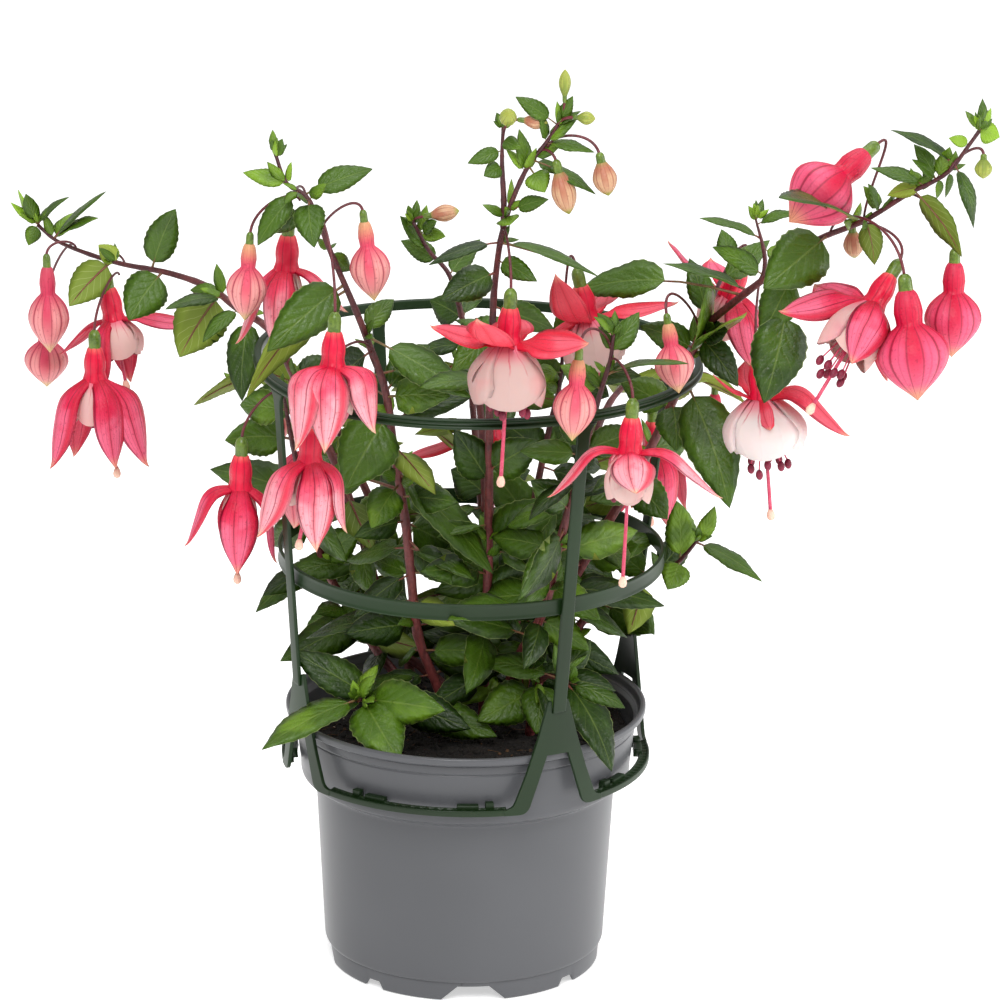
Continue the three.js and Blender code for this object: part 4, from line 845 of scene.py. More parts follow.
def fibres(rng, count):
    """Thin roots that lie on the heap: each a parabola seen from above, and a low arch seen from the side."""
    start = toward(rng.uniform(0, 360, count)) * (FIBRE_REACH * np.sqrt(rng.random(count)))[:, None]
    heading = toward(rng.uniform(0, 360, count))
    bend = np.cross(UP, heading) * rng.uniform(-0.35, 0.35, (count, 1))
    t = np.linspace(0, 1, 6)
    length = rng.uniform(4, 11, (count, 1, 1))
    path = start[:, None] + length * (t[:, None] * heading[:, None] + (t * t)[:, None] * bend[:, None])
    return tube(on_heap(path, 0.4 + np.sin(np.pi * t) * rng.random((count, 1))), 0.22, 4, UP)


def compost_piece():
    rng = np.random.default_rng(5)
    azimuth = np.linspace(0, 360, HEAP_COLUMNS, endpoint=False)
    dome = on_heap(toward(azimuth) * np.linspace(0, HEAP_EDGE, HEAP_ROWS)[:, None, None], 0)
    wall = np.array(POT_INSIDE)
    sides = toward(azimuth) * wall[:, :1, None] + wall[:, 1:, None] * UP
    heap = Piece("compost_heap", COMPOST, FIBRE, GRIT)
    heap.surface(np.concatenate([dome, sides])[::-1], wrap=True)
    for slot, row in enumerate(SPECKS):
        heap.surface(specks(rng, *row), wrap=True, slots=slot)
    heap.surface(fibres(rng, FIBRES), wrap=True, slots=1)
    heap.build("compost", "compost")


# ---------------------------------------------------------------- support cage
FEET = np.array([29.5, 116, 205, 297])
LEAN_TO = [118.5, 118.5, 118.5, 108.8]  # how far out each upright's top stands
LEAN_FROM, LEAN_FOOT, LEAN_RISE = 97.8, 165, 158.6
PLATE_RADIUS, PLATE_THICK, RING_GAP = 96.6, 2.0, 16.0
HOOP_STEPS = 241
PRESSED, PRESSED_HALF = -75, 65  # the side on which the hoops are pressed in, and how far that reaches
RING = [[91.8, 111.5], [97.3, 111.5], [97.3, 114.7], [96.2, 114.7], [95.9, 113.7], [92.9, 113.7],
        [92.7, 114.7], [91.8, 114.7]]  # [radius, z] round the ring's section; its floor is at 113.7
RING_STEPS, RING_FLOOR, RIB_RISE, RIB_STEPS = 84, (113, 114), 0.5, 4
GRIP_FOOT, GRIP_SHIFT, GRIP_RADIUS = 112.1, 2.5, 91
GRIP = [[88.8, 0], [93.4, 0], [93.4, 1], [89.4, 1]]  # [radius, share of the height]
GRIPS = [[-22.5, 4, 5.4], [-15.5, 11, 4.2], [15.5, 11, 4.2], [22.5, 4, 5.4]]  # turn, width, height
HOOPS = {  # the node, the outline's [radius, z] and how far it is pressed in
    "cage_middle_band": ["cage_middle_hoop", [[101.2, 219], [103.0, 219], [103.2, 219.6], [102.8, 221],
        [102.8, 225.5], [103.2, 227], [103.0, 227.5], [101.2, 227.5]], 4.5],
    "cage_top_band": ["cage_top_hoop", [[117.0, 324.4], [121.2, 324.4], [121.2, 326], [119.6, 326.6],
        [119.6, 328], [120.8, 328.6], [120.8, 329.4], [117.0, 329.4]], 11.0],
}
# Rows of the foot plate: the web's as [inner arc, z, outer arc], the others' as [arc, z] of the inner edge
# and of the outer one.
WEB = np.array([[6.1, 142, 14.5], [5.5, 146.5, 13.0], [5.0, 151, 11.5], [4.4, 158, 9.5], [3.75, 165, 7.5]])
PRONG = [[3.75, 165, 7.5, 165], [3.75, 168, 6.6, 168], [3.75, 171, 5.7, 171]]
TOE = [[14.1, 118.5, 23.2, 118.5], [15.4, 114.8, 24.3, 116.5], [17.2, 112.6, 25.8, 115.4],
       [20, 111.5, 27.6, 114.8], [29, 111.5, 29.2, 114.7]]
SHIN = [[11.5, 126, 20.25, 126], [9.15, 133, 17.5, 133], [6.1, 142, 14.5, 142]]
STRIP = np.array([[164.6, 3.6], [166, 3.6], [218, 3.6], [228.5, 3.384], [300, 3.384], [315, 3.384],
                  [319, 3.96], [322, 5.76], [323.5, 7.2]])  # z and half width of an upright


def swept(outline, azimuth, push=0.0, soften=0.5):
    """A closed [radius, z] outline carried round the axis. Its radius loses push * cos^2 of the angle from
    PRESSED, stretched so that it fades out at PRESSED_HALF."""
    outline = rounded(outline, soften, 2, closed=True)
    outline = np.vstack([outline, outline[:1]])
    off = (azimuth - PRESSED + 180) % 360 - 180
    inward = push * np.cos(np.pi / 2 * np.clip(off / PRESSED_HALF, -1, 1)) ** 2
    return toward(azimuth) * (outline[:, :1] - inward)[..., None] + outline[:, 1:, None] * UP


def capped(points):
    """Columns of sections, each a loop down the rows whose last point is its first, with both ends closed."""
    close = lambda end: np.broadcast_to(end[:-1].mean(0), end.shape)
    return np.concatenate([close(points[:, :1]), points, close(points[:, -1:])], 1)


def base_ring(piece):
    """The ring that grips the pot: a shallow channel with a ribbed floor, left out between each foot's two
    legs, and the pegs and pads that reach in from it."""
    for foot, following in zip(FEET, np.r_[FEET[1:], FEET[0] + 360]):
        azimuth = np.linspace(foot + RING_GAP, following - RING_GAP, RING_STEPS)
        ring = swept(RING, azimuth, soften=0.3)
        floor = (ring[..., 2] > RING_FLOOR[0]) & (ring[..., 2] < RING_FLOOR[1])
        ring[..., 2] += RIB_RISE * floor * (np.arange(RING_STEPS) % RIB_STEPS < RIB_STEPS / 2)
        piece.surface(capped(ring))
        middle = (foot + following) / 2 + GRIP_SHIFT
        for turn, width, high in GRIPS:
            across = middle + turn + np.degrees(width / 2 / GRIP_RADIUS) * np.array([-1, -0.9, 0, 0.9, 1])
            block = GRIP * np.array([1, high]) + [0, GRIP_FOOT]
            piece.surface(capped(swept(block, across, soften=0.4)))


def foot_plate(azimuth):
    """The A-shaped plate under an upright, as bent sheets: a web, and on each side a leg that turns outwards
    into the ring and a prong beside the upright's slot. The left half is the right one turned over."""
    inner, outer = WEB[:, :1], WEB[:, 2:]
    right = np.concatenate([inner * [0, 0.5, 1], inner + (outer - inner) * [0.5, 1]], 1)
    arc = np.concatenate([-right[:, :0:-1], right], 1)
    parts = [np.stack([arc, np.broadcast_to(WEB[:, 1:2], arc.shape)], -1)]
    for rows in (np.vstack([smooth_path(TOE, 12)[::-1], SHIN]), np.array(PRONG)):
        half = rows[:, None, :2] + (rows[:, 2:] - rows[:, :2])[:, None] * np.array([[0], [0.5], [1]])
        parts += [half, half[:, ::-1] * [-1, 1]]
    bent = lambda p: toward(azimuth + np.degrees(p[..., 0] / PLATE_RADIUS)) * PLATE_RADIUS
    return [bent(p) + p[..., 1:] * UP for p in parts]


def upright(azimuth, lean_to):
    """A flat strip that leans outwards from its foot's slot to the top hoop, where it widens."""
    z, half = STRIP.T
    radius = LEAN_FROM + (z - LEAN_FOOT) * (lean_to - LEAN_FROM) / LEAN_RISE
    corner = rounded([[-1, -1], [1, -1], [1, 1], [-1, 1]], 0.2, 2, closed=True)
    depth = radius[:, None] + PLATE_THICK / 2 * corner[:, 1]
    strip = toward(azimuth + np.degrees(half[:, None] * corner[:, 0] / radius[:, None])) * depth[..., None]
    strip = strip + z[:, None, None] * UP
    close = lambda row: np.broadcast_to(row.mean(0), row.shape)[None]
    return np.concatenate([close(strip[0]), strip, close(strip[-1])])[:, ::-1]


def cage_pieces():
    base = Piece("cage_base_moulding", CAGE_PLASTIC)
    base_ring(base)
    base.build("cage_plastic", "cage_base")
    for k, (azimuth, lean_to) in enumerate(zip(FEET, LEAN_TO), 1):
        foot = Piece(f"cage_foot_{k}", CAGE_PLASTIC)
        for sheet in foot_plate(azimuth):
            foot.surface(sheet)
        foot.build("cage_plastic", thick=PLATE_THICK)
        strip = Piece(f"cage_strip_{k}", CAGE_PLASTIC)
        strip.surface(upright(azimuth, lean_to), wrap=True)
        strip.build("cage_plastic", f"cage_upright_{k}")
    for name, (node, outline, push) in HOOPS.items():
        hoop = Piece(name, CAGE_PLASTIC)
        hoop.surface(swept(outline, np.linspace(0, 360, HOOP_STEPS), push))
        hoop.build("cage_plastic", node)


# ---------------------------------------------------------------- shoots and leaves
SHOWN = unit(np.array([0.0, -0.957, 0.29]))  # the way in which the bush turns its face
BLADE, SMALL_BLADE, YOUNG_BLADE = (19, 5), (10, 4), (8, 4)  # rows along a leaf, and points across its face
SLENDER = 0.46  # the least width of a leaf, as a share of its length
STEM_FOOT, STEM_LOSS, JOINTS = 2.6, 1.7, 11
FILLER_STEP, FILLER_LOW, FILLER_HIGH, FILLER_OUT = 14.5, 140, 345, 112
FILLED_FROM, FILLED_OUT = 150, 100  # the height and distance from the axis of the stems that carry them
HIDDEN_BY = ((0.45, 22), (1.0, 17))  # places on a leaf, and how near to a flower each may come
CROWN_LEAVES, PAIRED_LEAVES = 3, 0.6  # at a stem's tip; and the share of leaves with young ones at their foot


def leaves_on(piece, roots, tips, width, stalk, tint, rng, blade=BLADE, outward=False):
    """Leaves from roots to tips. The midrib is a quadratic curve that arches upwards. A leaf is at least
    SLENDER times as wide as it is long; where `width`, the breadth that it shows to SHOWN, is less than that,
    it is turned until it shows only that much. A negative width shows its underside, and `outward` leaves
    face away from the pot's axis. The blade's half width is t^0.55 (1 - t), scaled to its greatest; its edges
    are lifted by a fold and a gentle wave, and every other row of the margin stands out as a tooth. Under it
    runs the stalk, which thins into the midrib."""
    span = tips - roots
    length = np.linalg.norm(span, axis=1, keepdims=True)
    middle = (roots + tips) / 2
    square = lambda v: unit(v - span * (v * span).sum(1, keepdims=True) / length**2)
    against = lambda a, b: (a * b).sum(1, keepdims=True) < 0
    facing = 0.6 * UP + 0.8 * unit(middle * [1, 1, 0])
    arch = square(facing)
    real = np.maximum(np.abs(width), SLENDER * length[:, 0] * (1 - stalk))
    face = square(np.sign(width)[:, None] * SHOWN)
    edge_on = unit(np.cross(span, face))
    edge_on = edge_on * np.where(against(edge_on, facing), -1, 1)
    part = np.clip(np.abs(width) / real, 0.12, 1)[:, None]
    chosen = arch if outward else part * face + np.sqrt(1 - part**2) * edge_on
    lift = square(chosen + rng.normal(0, 0.1, span.shape))
    bow = unit(0.5 * arch + lift * np.where(against(arch, lift), -0.5, 0.5))
    bend = middle + bow * length * rng.uniform(0.08, 0.17, (len(span), 1))

    def rib(v):
        """Points, sideways directions and normals of the midribs at fractions v (leaves, rows)."""
        v = v[..., None]
        at = (1 - v) ** 2 * roots[:, None] + 2 * v * (1 - v) * bend[:, None] + v**2 * tips[:, None]
        along = unit((1 - v) * (bend - roots)[:, None] + v * (tips - bend)[:, None])
        side = unit(np.cross(along, np.broadcast_to(lift[:, None], along.shape)))
        return at, side, np.cross(side, along)

    rows, columns = blade
    u, upper = around(columns)
    t = np.linspace(0, 1, rows)
    at, side, normal = rib(stalk[:, None] + (1 - stalk[:, None]) * t)
    full = np.maximum(t, 1e-4) ** 0.55 * (1 - t)
    half = (full / full.max() * real[:, None] / 2)[..., None]
    each = lambda low, high: rng.uniform(low, high, (len(span), 1, 1))
    edge, t_down = np.abs(u), t[:, None]
    tooth = 1 + 0.03 * np.where(np.arange(rows) % 2, 1, -1)[:, None] * (edge == 1)
    wave = each(0.02, 0.08) * np.minimum(1, 3 * t_down) * np.sin(t_down * each(7, 13) + each(0, 6) + u * 1.6)
    droop = -0.2 * edge**2 * (0.4 + t_down)
    rise = half * (each(0.1, 0.34) * edge + wave * edge + droop) + 0.3 * upper * np.minimum(1, half / 2)
    sheet = at[:, :, None] + side[:, :, None] * (half * tooth * u)[..., None]
    piece.surface(sheet + normal[:, :, None] * rise[..., None], sheet_map(u, t), wrap=True, tint=tint,
                  slots=np.where(np.arange(len(u)) < columns - 1, 0, 1))

    v = np.linspace(0, 1, 6)
    thick = np.interp(v, [0, 0.5, 1], [0.8, 0.6, 0.2]) * np.clip(real / 18, 0.35, 1.1)[:, None]
    v = np.where(v < 0.5, v * 2 * stalk[:, None], stalk[:, None] + (2 * v - 1) * (0.86 - stalk[:, None]))
    at, _, normal = rib(v)
    below = np.where(v > stalk[:, None], 0.1 + 0.6 * thick, 0)[..., None]
    piece.surface(tube(at - normal * below, thick, 4, lift[:, None]), wrap=True, slots=2, tint=0.7 * tint)


def stem_radius(share, scale=1.0):
    """A stem's radius at fractions of its length: it shrinks with the square, and swells at each joint."""
    joints = np.maximum(0, np.cos(share * 2 * np.pi * JOINTS)) ** 10
    return scale * (STEM_FOOT - STEM_LOSS * share**2) * (1 + 0.14 * joints)


def filler_leaves(piece, line, rng, outward):
    """Pairs of leaves up the part of a stem that stands inside the cage. Each pair is a quarter turn round
    from the one below. A leaf that would hang over a flower or bud, as seen from SHOWN, is left out."""
    within = np.hypot(*line[:, :2].T) < FILLED_OUT
    inside = line[(line[:, 2] > FILLED_FROM) & (line[:, 2] < FILLER_HIGH) & within]
    if len(inside) < 8:
        return
    count = int(np.linalg.norm(np.diff(inside, axis=0), axis=1).sum() / FILLER_STEP)
    both = 2 * count
    root = along_line(inside, np.repeat((np.arange(count) + rng.random()) / count, 2))
    turn = np.repeat(90 * np.arange(count) + rng.uniform(0, 360), 2) + np.tile([0, 180], count)
    heading = toward(turn + rng.normal(0, 16, both)) + UP * rng.uniform(-0.5, 0.45, (both, 1))
    reach = rng.uniform(30, 56, (both, 1))
    tip = root + unit(heading) * reach - 0.12 * reach * UP
    keep = (np.hypot(*tip[:, :2].T) < FILLER_OUT) & (tip[:, 2] > FILLER_LOW) & (tip[:, 2] < FILLER_HIGH)
    for flower in HANGING:
        for share, room in HIDDEN_BY:
            gap = root * (1 - share) + tip * share - flower
            ahead = gap @ SHOWN
            aside = np.linalg.norm(gap - ahead[:, None] * SHOWN, axis=1)
            keep &= ~((ahead > -6) & (aside < room))
    size = rng.uniform(0.4, 0.52, both) * reach[:, 0]
    shows = size * np.where(rng.random(both) < 0.08, -1, 1) * rng.uniform(0.45, 1, both)
    tint = np.clip(rng.normal(0.27, 0.18, both), 0, 1)
    leaves_on(piece, root[keep], tip[keep], shows[keep], np.full(keep.sum(), 0.16), tint[keep], rng,
              SMALL_BLADE, outward)


def young_pairs(piece, roots, tips, rng, size):
    """Small bright young leaves, in pairs, in the angle between each leaf's stalk and its stem."""
    count = len(roots)
    heading = unit(unit(tips - roots) * 0.6 + UP * 0.9 + rng.normal(0, 0.35, (count, 3)))
    across = unit(np.cross(heading, rng.normal(0, 1, (count, 3))))
    for side in (-0.55, 0.6):
        tip = roots + (heading + across * side) * (size * rng.uniform(0.7, 1.2, count))[:, None]
        width = 0.42 * np.linalg.norm(tip - roots, axis=1) * rng.uniform(0.6, 1, count)
        tint = np.clip(rng.normal(0.62, 0.12, count), 0, 1)
        leaves_on(piece, roots, tip, width, np.full(count, 0.14), tint, rng, YOUNG_BLADE)


def shoot_piece(name, stems, rng):
    """A shoot's stems as thinning tubes, the side stems thinner and paler, with every leaf rooted on its stem
    at its fraction of the length above the compost. The rear shoots' leaves face outwards. Each tip carries
    a crown of young leaves; on the main stem some leaves have young ones at their foot, and fillers stand
    between them."""
    piece = Piece(name + "_dressed", LEAF_TOP, LEAF_BACK, STALK, STEM)
    outward = name.startswith("shoot_rear")
    main = stems[0][0]
    lines = [smooth_path([[*main[0][:2], 118], *main], 90)] + [smooth_path(p, 30) for p, _ in stems[1:]]
    for k, line in enumerate(lines):
        share = np.linspace(0, 1, len(line))
        piece.surface(tube(line, stem_radius(share, 0.6 if k else 1), 8), wrap=True, slots=3,
                      tint=0.9 if k else np.r_[0, share, 1][None])
    for k, (line, (_, leaves)) in enumerate(zip(lines, stems)):
        rows = np.array([[*row, *LEAF_USUAL[len(row) - 5:]] for row in leaves], float)
        above = line if k else line[line[:, 2] >= main[0][2]]
        roots, tips = along_line(above, rows[:, 0]), rows[:, 1:4]
        young = np.clip(1.0 - np.linalg.norm(tips - roots, axis=1) / 26, 0, 0.3)
        tint = np.clip(0.32 + young + rng.normal(0, 0.13, len(rows)), 0, 1)
        tint = np.where(rows[:, 6] >= 0, rows[:, 6], tint)
        leaves_on(piece, roots, tips, rows[:, 4], rows[:, 5], tint, rng, outward=outward)
        if k == 0:
            pick = rng.random(len(rows)) < PAIRED_LEAVES
            young_pairs(piece, roots[pick], tips[pick], rng, rng.uniform(8, 17, pick.sum()))
        crown = np.repeat(line[-1:], CROWN_LEAVES, 0)
        young_pairs(piece, crown, crown + unit(line[-1:] - line[-4:-3]) * 9, rng,
                    rng.uniform(5, 10, CROWN_LEAVES))
    filler_leaves(piece, lines[0], rng, outward)
    piece.build("foliage", name)


# ---------------------------------------------------------------- flowers and buds
TUBE_END, SEPAL_LENGTH, SEPAL_FOOT = 28.0, 47.0, 5.0
BELL_TOP, BELL_FOOT = TUBE_END - 1.5, 4.6  # how far below the ovary's top the petals start, and their radius
USUAL_HANG, USUAL_LEAN, STAMENS = -7.0, 0.0, 8
SEPAL_SHAPE = [[0, 0.46], [0.15, 0.7], [0.3, 0.92], [0.45, 1], [0.6, 0.92], [0.75, 0.68], [0.87, 0.36],
               [0.95, 0.12], [1, 0]]  # [share of the length, share of the greatest width]
OVARY_SHAPE = [[0, 0], [1.4, -0.3], [2.9, -2.2], [3.4, -4.8], [3.3, -7.6], [3.3, -10.2]]  # [radius, z]
TUBE_SHAPE = [[3.0, -9.6], [3.7, -10.3], [4.4, -12.5], [5.4, -16.5], [5.6, -20], [5.3, -23.5],
              [6.0, -26.5], [6.4, -TUBE_END], [5.4, -29.4]]
STIGMA_SHAPE = [[0, 0], [1.0, 0.1], [1.7, -1.4], [2.2, -3.4], [1.8, -5], [0.9, -5.7], [0, -5.9]]
ROUNDS = ((4, 1, 1, 1), (4, 0.84, 0.97, -1), (3, 0.5, 0.88, 1))  # petals, share of radius and length, tuck
SEPAL_FACES = np.where(np.arange(16) < 8, 1, 0)  # slots round a sepal: the inner face, then the outer one
# [share of the radius, share of the length] of a grown bud and of a young one, and of each one's ovary.
BUD_SHAPE = [[0.2, 0.13], [0.3, 0.165], [0.37, 0.24], [0.4, 0.3], [0.37, 0.36], [0.37, 0.4], [0.6, 0.45],
             [0.86, 0.525], [1.0, 0.62], [0.97, 0.69], [0.82, 0.77], [0.54, 0.86], [0.24, 0.935],
             [0.07, 0.98], [0, 1]]
ROUND_SHAPE = [[0.42, 0.24], [0.55, 0.3], [0.78, 0.4], [0.98, 0.54], [1.0, 0.64], [0.84, 0.78], [0.5, 0.9],
               [0.18, 0.97], [0, 1]]
BUD_OVARY = [[0, 0], [0.11, 0.008], [0.19, 0.04], [0.2, 0.09], [0.21, 0.145]]
ROUND_OVARY = [1.9, 1.8]  # how much broader and longer a young bud's ovary is


def sepal(rng, usual, azimuth, first, last, roll=0, length=SEPAL_LENGTH, width=None):
    """A sepal from the tube's foot. Its middle line leaves at the first angle from the flower's axis and has
    eased to the second by half its length; its tip flicks outwards. roll turns its front edge down, or
    inwards where it hangs. Its half width follows SEPAL_SHAPE, and its usual width is the flower's. Its
    section is a trough: open towards the petals where it hangs, and with its edges curled upwards where it
    stands level."""
    u, outer = around(9)
    t = np.linspace(0, 1, 26)
    ease = np.clip((t - 0.04) / 0.46, 0, 1)
    flick = 38 * np.clip((t - 0.86) / 0.14, 0, 1) ** 2
    level = np.clip((last - 50) / 40, 0, 1)
    sway = 9 * level * np.sin(2 * np.pi * t)
    bend = np.radians(first + (last - first) * ease**2 * (3 - 2 * ease) + flick - sway)[:, None]
    out, side = toward(azimuth), toward(azimuth + 90)
    along, normal = np.sin(bend) * out - np.cos(bend) * UP, np.cos(bend) * out + np.sin(bend) * UP
    roll = -np.sign(side @ SHOWN) * np.radians(roll) * np.clip(t / 0.3, 0, 1)[:, None]
    side, normal = np.cos(roll) * side + np.sin(roll) * normal, np.cos(roll) * normal - np.sin(roll) * side
    step = (along[1:] + along[:-1]) / 2 * length * rng.uniform(0.98, 1.03) / (len(t) - 1)
    middle = out * SEPAL_FOOT - UP * BELL_TOP + np.vstack([[0, 0, 0], np.cumsum(step, 0)])
    shape = smooth_path(SEPAL_SHAPE, 60)
    half = np.maximum(0, (width or usual) / 2 * np.interp(t, shape[:, 0], shape[:, 1]))[:, None]
    cup = np.interp(t, [0, 0.2, 1], [-0.5, -0.42 + 0.62 * level, -0.34 + 0.62 * level])[:, None]
    wave = 0.06 * np.sin(6 * t[:, None] + rng.uniform(0, 6) + 2 * u) * np.abs(u)
    rise = half * (cup * np.abs(u) ** 1.7 + wave) + 0.3 * outer * np.minimum(1, half)
    across = half * (1 - 0.16 * np.abs(cup)) * u
    points = middle[:, None] + side[:, None] * across[..., None] + normal[:, None] * rise[..., None]
    return points, sheet_map(u, t)


def petals(count, radius, length, tuck, rng):
    """count petals of the bell, each broad enough to lie half over the next. A petal spans an angle about the
    axis. Its radius swells to its greatest at 0.66 of the length and comes in a little at the hem; one edge
    is tucked under its neighbour. Shallow gathers ripple its middle, and its hem is a round lobe."""
    u, outer = around(9)
    t = np.linspace(0, 1, 15)[None, :, None]
    each = lambda low, high: rng.uniform(low, high, (count, 1, 1))
    start = (360 / count * np.arange(count))[:, None, None] + each(-12, 12)
    spread = 62 * each(0.88, 1.12)
    hem = np.maximum(0, t - 0.66) / 0.34
    swell = np.sin(np.pi / 2 * np.minimum(1, t / 0.66)) ** 0.95 * (1 - 0.16 * hem**2)
    gathers = 0.022 * radius * np.sin(np.pi * t) * np.cos(each(5, 9) * u + each(0, 6))
    ruffle = 0.05 * radius * t**3 * np.sin(each(2, 4) * u + each(0, 6))
    r = BELL_FOOT + (radius - BELL_FOOT) * swell * each(0.94, 1.04)
    r = r + tuck * u * t * radius * 0.042 + gathers + ruffle + 0.25 * outer * np.minimum(1, 8 * t)
    fall = t * length * each(0.9, 1.03) * (1 - 0.2 * t * u**2)
    narrow = 1 - 0.12 * np.maximum(0, t - 0.7) / 0.3
    azimuth = start + u * spread * (0.7 + 0.3 * np.sin(np.pi / 2 * t)) * narrow
    return toward(azimuth) * r[..., None] - (BELL_TOP + fall)[..., None] * UP, sheet_map(u, t[0, :, 0])


def hanging(points, at, to):
    """Points made about a flower that hangs straight down from the origin, moved to its place and axis."""
    return np.asarray(at, float) + points @ turn_to(np.subtract(to, at)).T


def flower_stalk(start, at, to):
    """The thin arching stalk: a cubic curve that rises from the shoot and comes down on the ovary."""
    start, at = np.asarray(start, float), np.asarray(at, float)
    reach, axis = at - start, unit(np.subtract(to, at).astype(float))
    length = np.linalg.norm(reach)
    t = np.linspace(0, 1, 22)[:, None]
    second, third = start + UP * 0.3 * length + 0.1 * reach, at - axis * 0.45 * length
    path = (1 - t) ** 3 * start + 3 * t * (1 - t) ** 2 * second + 3 * t**2 * (1 - t) * third
    return tube(path + t**3 * (at + axis * 1.5), np.linspace(0.62, 0.78, 22), 7)


def stamens(put, fall, style, bell, hang, lean, rng):
    """Filaments that spread within the bell and end `hang` below 0.88 of its length, each with a long anther,
    and a style that ends `style` below the ovary's top and `lean` off the axis, with a pear-shaped stigma."""
    azimuth = np.arange(STAMENS) * 360 / STAMENS + rng.uniform(-14, 14, STAMENS)
    drop = 0.88 * fall + hang + rng.uniform(0, 7, STAMENS)[:, None, None]
    t = np.linspace(0, 1, 9)[None, :, None]
    spread = rng.uniform(0.2, 0.5, (STAMENS, 1, 1)) * bell
    path = toward(azimuth)[:, None] * (1.6 + spread * t**1.5) - UP * (TUBE_END + drop * t)
    put(tube(path, 0.4, 5, np.cross(UP, toward(azimuth))[:, None]), slots=6)
    put((path[:, -1] - UP * 1.4)[:, None, None] + unit_ball(8, 8) * [1.9, 1.5, 2.8], slots=7)
    sway = np.array([rng.uniform(-2, 2) + lean, rng.uniform(-2, 2), 0])
    line = sway * t[0] ** 2 - UP * (TUBE_END + (style - 4 - TUBE_END) * t[0])
    put(tube(line, np.linspace(0.8, 1.0, 9), 7), slots=6)
    put(turned(STIGMA_SHAPE[::-1], 10) + line[-1] + UP * 0.6, slots=8)


def flower_piece(rng, name, start, at, to, bell, fall, style, look, width, sepals, hang=USUAL_HANG,
                 lean=USUAL_LEAN):
    """Stalk, ovary, ribbed tube, four sepals, three rounds of petals, stamens and style."""
    flower = Piece(name + "_dressed", *SEPALS[look], PETALS[look], TUBE, OVARY, PEDICEL, FILAMENT, ANTHER,
                   STIGMA)
    flower.surface(flower_stalk(start, at, to), wrap=True, slots=5, tint=np.linspace(0, 1, 24)[None])

    def put(points, **kept):
        flower.surface(hanging(points, at, to), wrap=True, **kept)

    ribs = lambda turn: 1 + 0.045 * np.cos(4 * turn) + 0.02 * np.cos(8 * turn)
    put(turned(smooth_path(OVARY_SHAPE, 16)[::-1], 20), slots=4)
    put(turned(smooth_path(TUBE_SHAPE, 24)[::-1], 32, ribs), slots=3)
    for row in sepals:
        points, uv = sepal(rng, width, *row)
        put(points[:, ::-1], uv=uv[:, ::-1], slots=SEPAL_FACES)
    for count, share, depth, tuck in ROUNDS:
        points, uv = petals(count, bell * share, fall * depth, tuck, rng)
        put(points[:, :, ::-1], uv=uv[:, ::-1], slots=2, tint=rng.uniform(0.0, 0.8, count))
    stamens(put, fall, style, bell, hang, lean, rng)
    flower.build("petals", name)


def bud_piece(name, start, at, to, radius, look):
    """Stalk, ovary, tube and the closed, pointed balloon: BUD_SHAPE carried round, four-lobed, with a groove
    at each seam. A young or green bud has no tube yet, and follows ROUND_SHAPE."""
    small = look in ("young", "green")
    scale = [radius, -np.linalg.norm(np.subtract(to, at))]
    bud = Piece(name + "_dressed", BUD_SKINS[look], OVARY, PEDICEL)
    bud.surface(flower_stalk(start, at, to), wrap=True, slots=2, tint=np.linspace(0, 1, 24)[None])
    ovary = smooth_path(BUD_OVARY, 12)[::-1] * scale * (ROUND_OVARY if small else [1, 1])
    bud.surface(hanging(turned(ovary, 16), at, to), wrap=True, slots=1)
    body = smooth_path(ROUND_SHAPE if small else BUD_SHAPE, 40)[::-1]
    lobes = lambda turn: 1 - 0.07 * np.maximum(0, -np.cos(4 * turn)) ** 14 + 0.02 * np.cos(8 * turn)
    bud.surface(hanging(turned(body * scale, 40, lobes), at, to),
                grid(np.linspace(0.125, 1.125, 41), body[:, 1]), wrap=True)
    bud.build("young_buds" if small else "buds", name)


# ---------------------------------------------------------------- the whole
BELOW = ([0, 0, 0], [0, 0, -22])
HANGING = np.array([np.add(row[2], down, dtype=float) for rows in (FLOWERS, BUDS) for row in rows.values()
                    for down in BELOW])  # places that filler leaves keep clear of
pot_piece()
compost_piece()
cage_pieces()
for seed, (name, stems) in enumerate(SHOOTS.items(), 100):
    shoot_piece(name, stems, np.random.default_rng(seed))
for seed, (name, flower) in enumerate(FLOWERS.items(), 200):
    flower_piece(np.random.default_rng(seed), name, *flower)
for name, bud in BUDS.items():
    bud_piece(name, *bud)

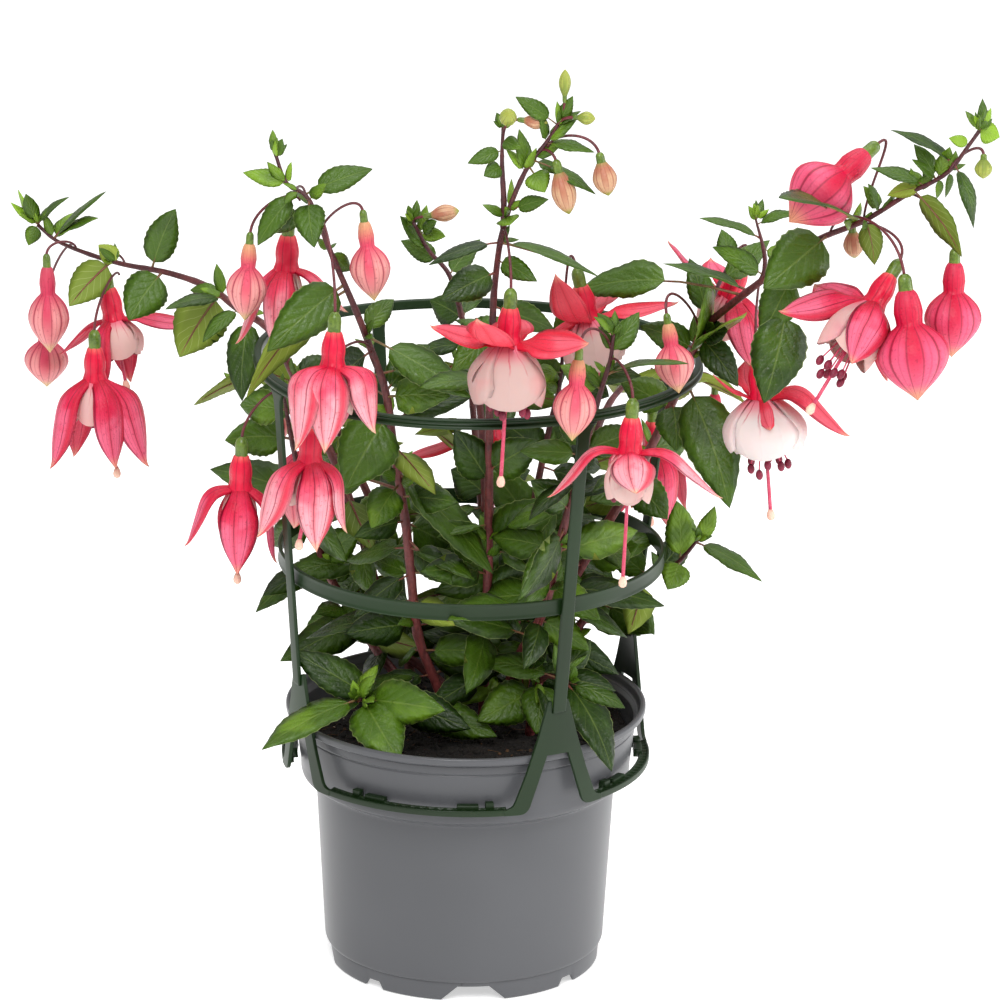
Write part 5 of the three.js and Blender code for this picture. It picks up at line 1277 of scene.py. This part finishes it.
# ---------------------------------------------------------------- floor, light and camera
FLOOR_SIZE, FLOOR_DROP = 8, 0.0005  # metres; the floor lies a hair below the pot's foot
bpy.ops.mesh.primitive_plane_add(size=FLOOR_SIZE, location=(0, 0, -FLOOR_DROP))
floor = bpy.context.object
floor.name = "floor"
floor.data.materials.append(material("Pale floor", Base_Color=(0.86, 0.86, 0.86, 1), Roughness=0.9,
                                     Emission_Color=(1, 1, 1, 1), Emission_Strength=0.5).owner)

# Rectangular area lights: place, what each faces, width and height, all in metres, and power.
LIGHTS = {
    "Key": [(-0.2, -1.8, 2.0), (0, 0, 0.25), (1.2, 1.2), 42],
    "Fill": [(1.9, -1.0, 1.1), (0, 0, 0.25), (1.4, 1.4), 11],
    "Top": [(0.1, 0.5, 2.2), (0, 0, 0.25), (1.6, 1.6), 22],
    "Right strip": [(1.5, -0.1, 0.35), (0, 0, 0.15), (0.25, 1.3), 8],
}
for name, (place, aim, size, power) in LIGHTS.items():
    light = bpy.data.lights.new(name, "AREA")
    light.shape, light.energy = "RECTANGLE", power
    light.size, light.size_y = size
    holder = bpy.data.objects.new(name, light)
    bpy.context.scene.collection.objects.link(holder)
    holder.location = place
    holder.rotation_euler = (Vector(aim) - Vector(place)).to_track_quat("-Z", "Y").to_euler()
world = bpy.data.worlds.new("Studio")
world.use_nodes = True
world.node_tree.nodes["Background"].inputs["Color"].default_value = (1, 1, 1, 1)
world.node_tree.nodes["Background"].inputs["Strength"].default_value = 0.55
bpy.context.scene.world = world
bpy.context.scene.view_settings.view_transform = "Standard"

LENS, SENSOR, PITCH, ROLL = 179.71, 36.0, np.radians(16.8476), np.radians(0.6453)
AIM, REACH = np.array([0.01681, 0.0, 0.25188]), 2.6049  # metres: what the camera looks at, and how far it is
ahead, level = np.array([0, np.cos(PITCH), -np.sin(PITCH)]), np.array([1.0, 0, 0])
upward = np.array([0, np.sin(PITCH), np.cos(PITCH)])
right, above = np.cos(ROLL) * level + np.sin(ROLL) * upward, np.cos(ROLL) * upward - np.sin(ROLL) * level
camera = bpy.data.objects.new("Camera", bpy.data.cameras.new("Camera"))
camera.data.lens, camera.data.sensor_width = LENS, SENSOR
turn = Matrix(np.stack([right, above, -ahead], 1).tolist()).to_4x4()
camera.matrix_world = Matrix.Translation(AIM - ahead * REACH) @ turn
bpy.context.scene.collection.objects.link(camera)
bpy.context.scene.camera = camera
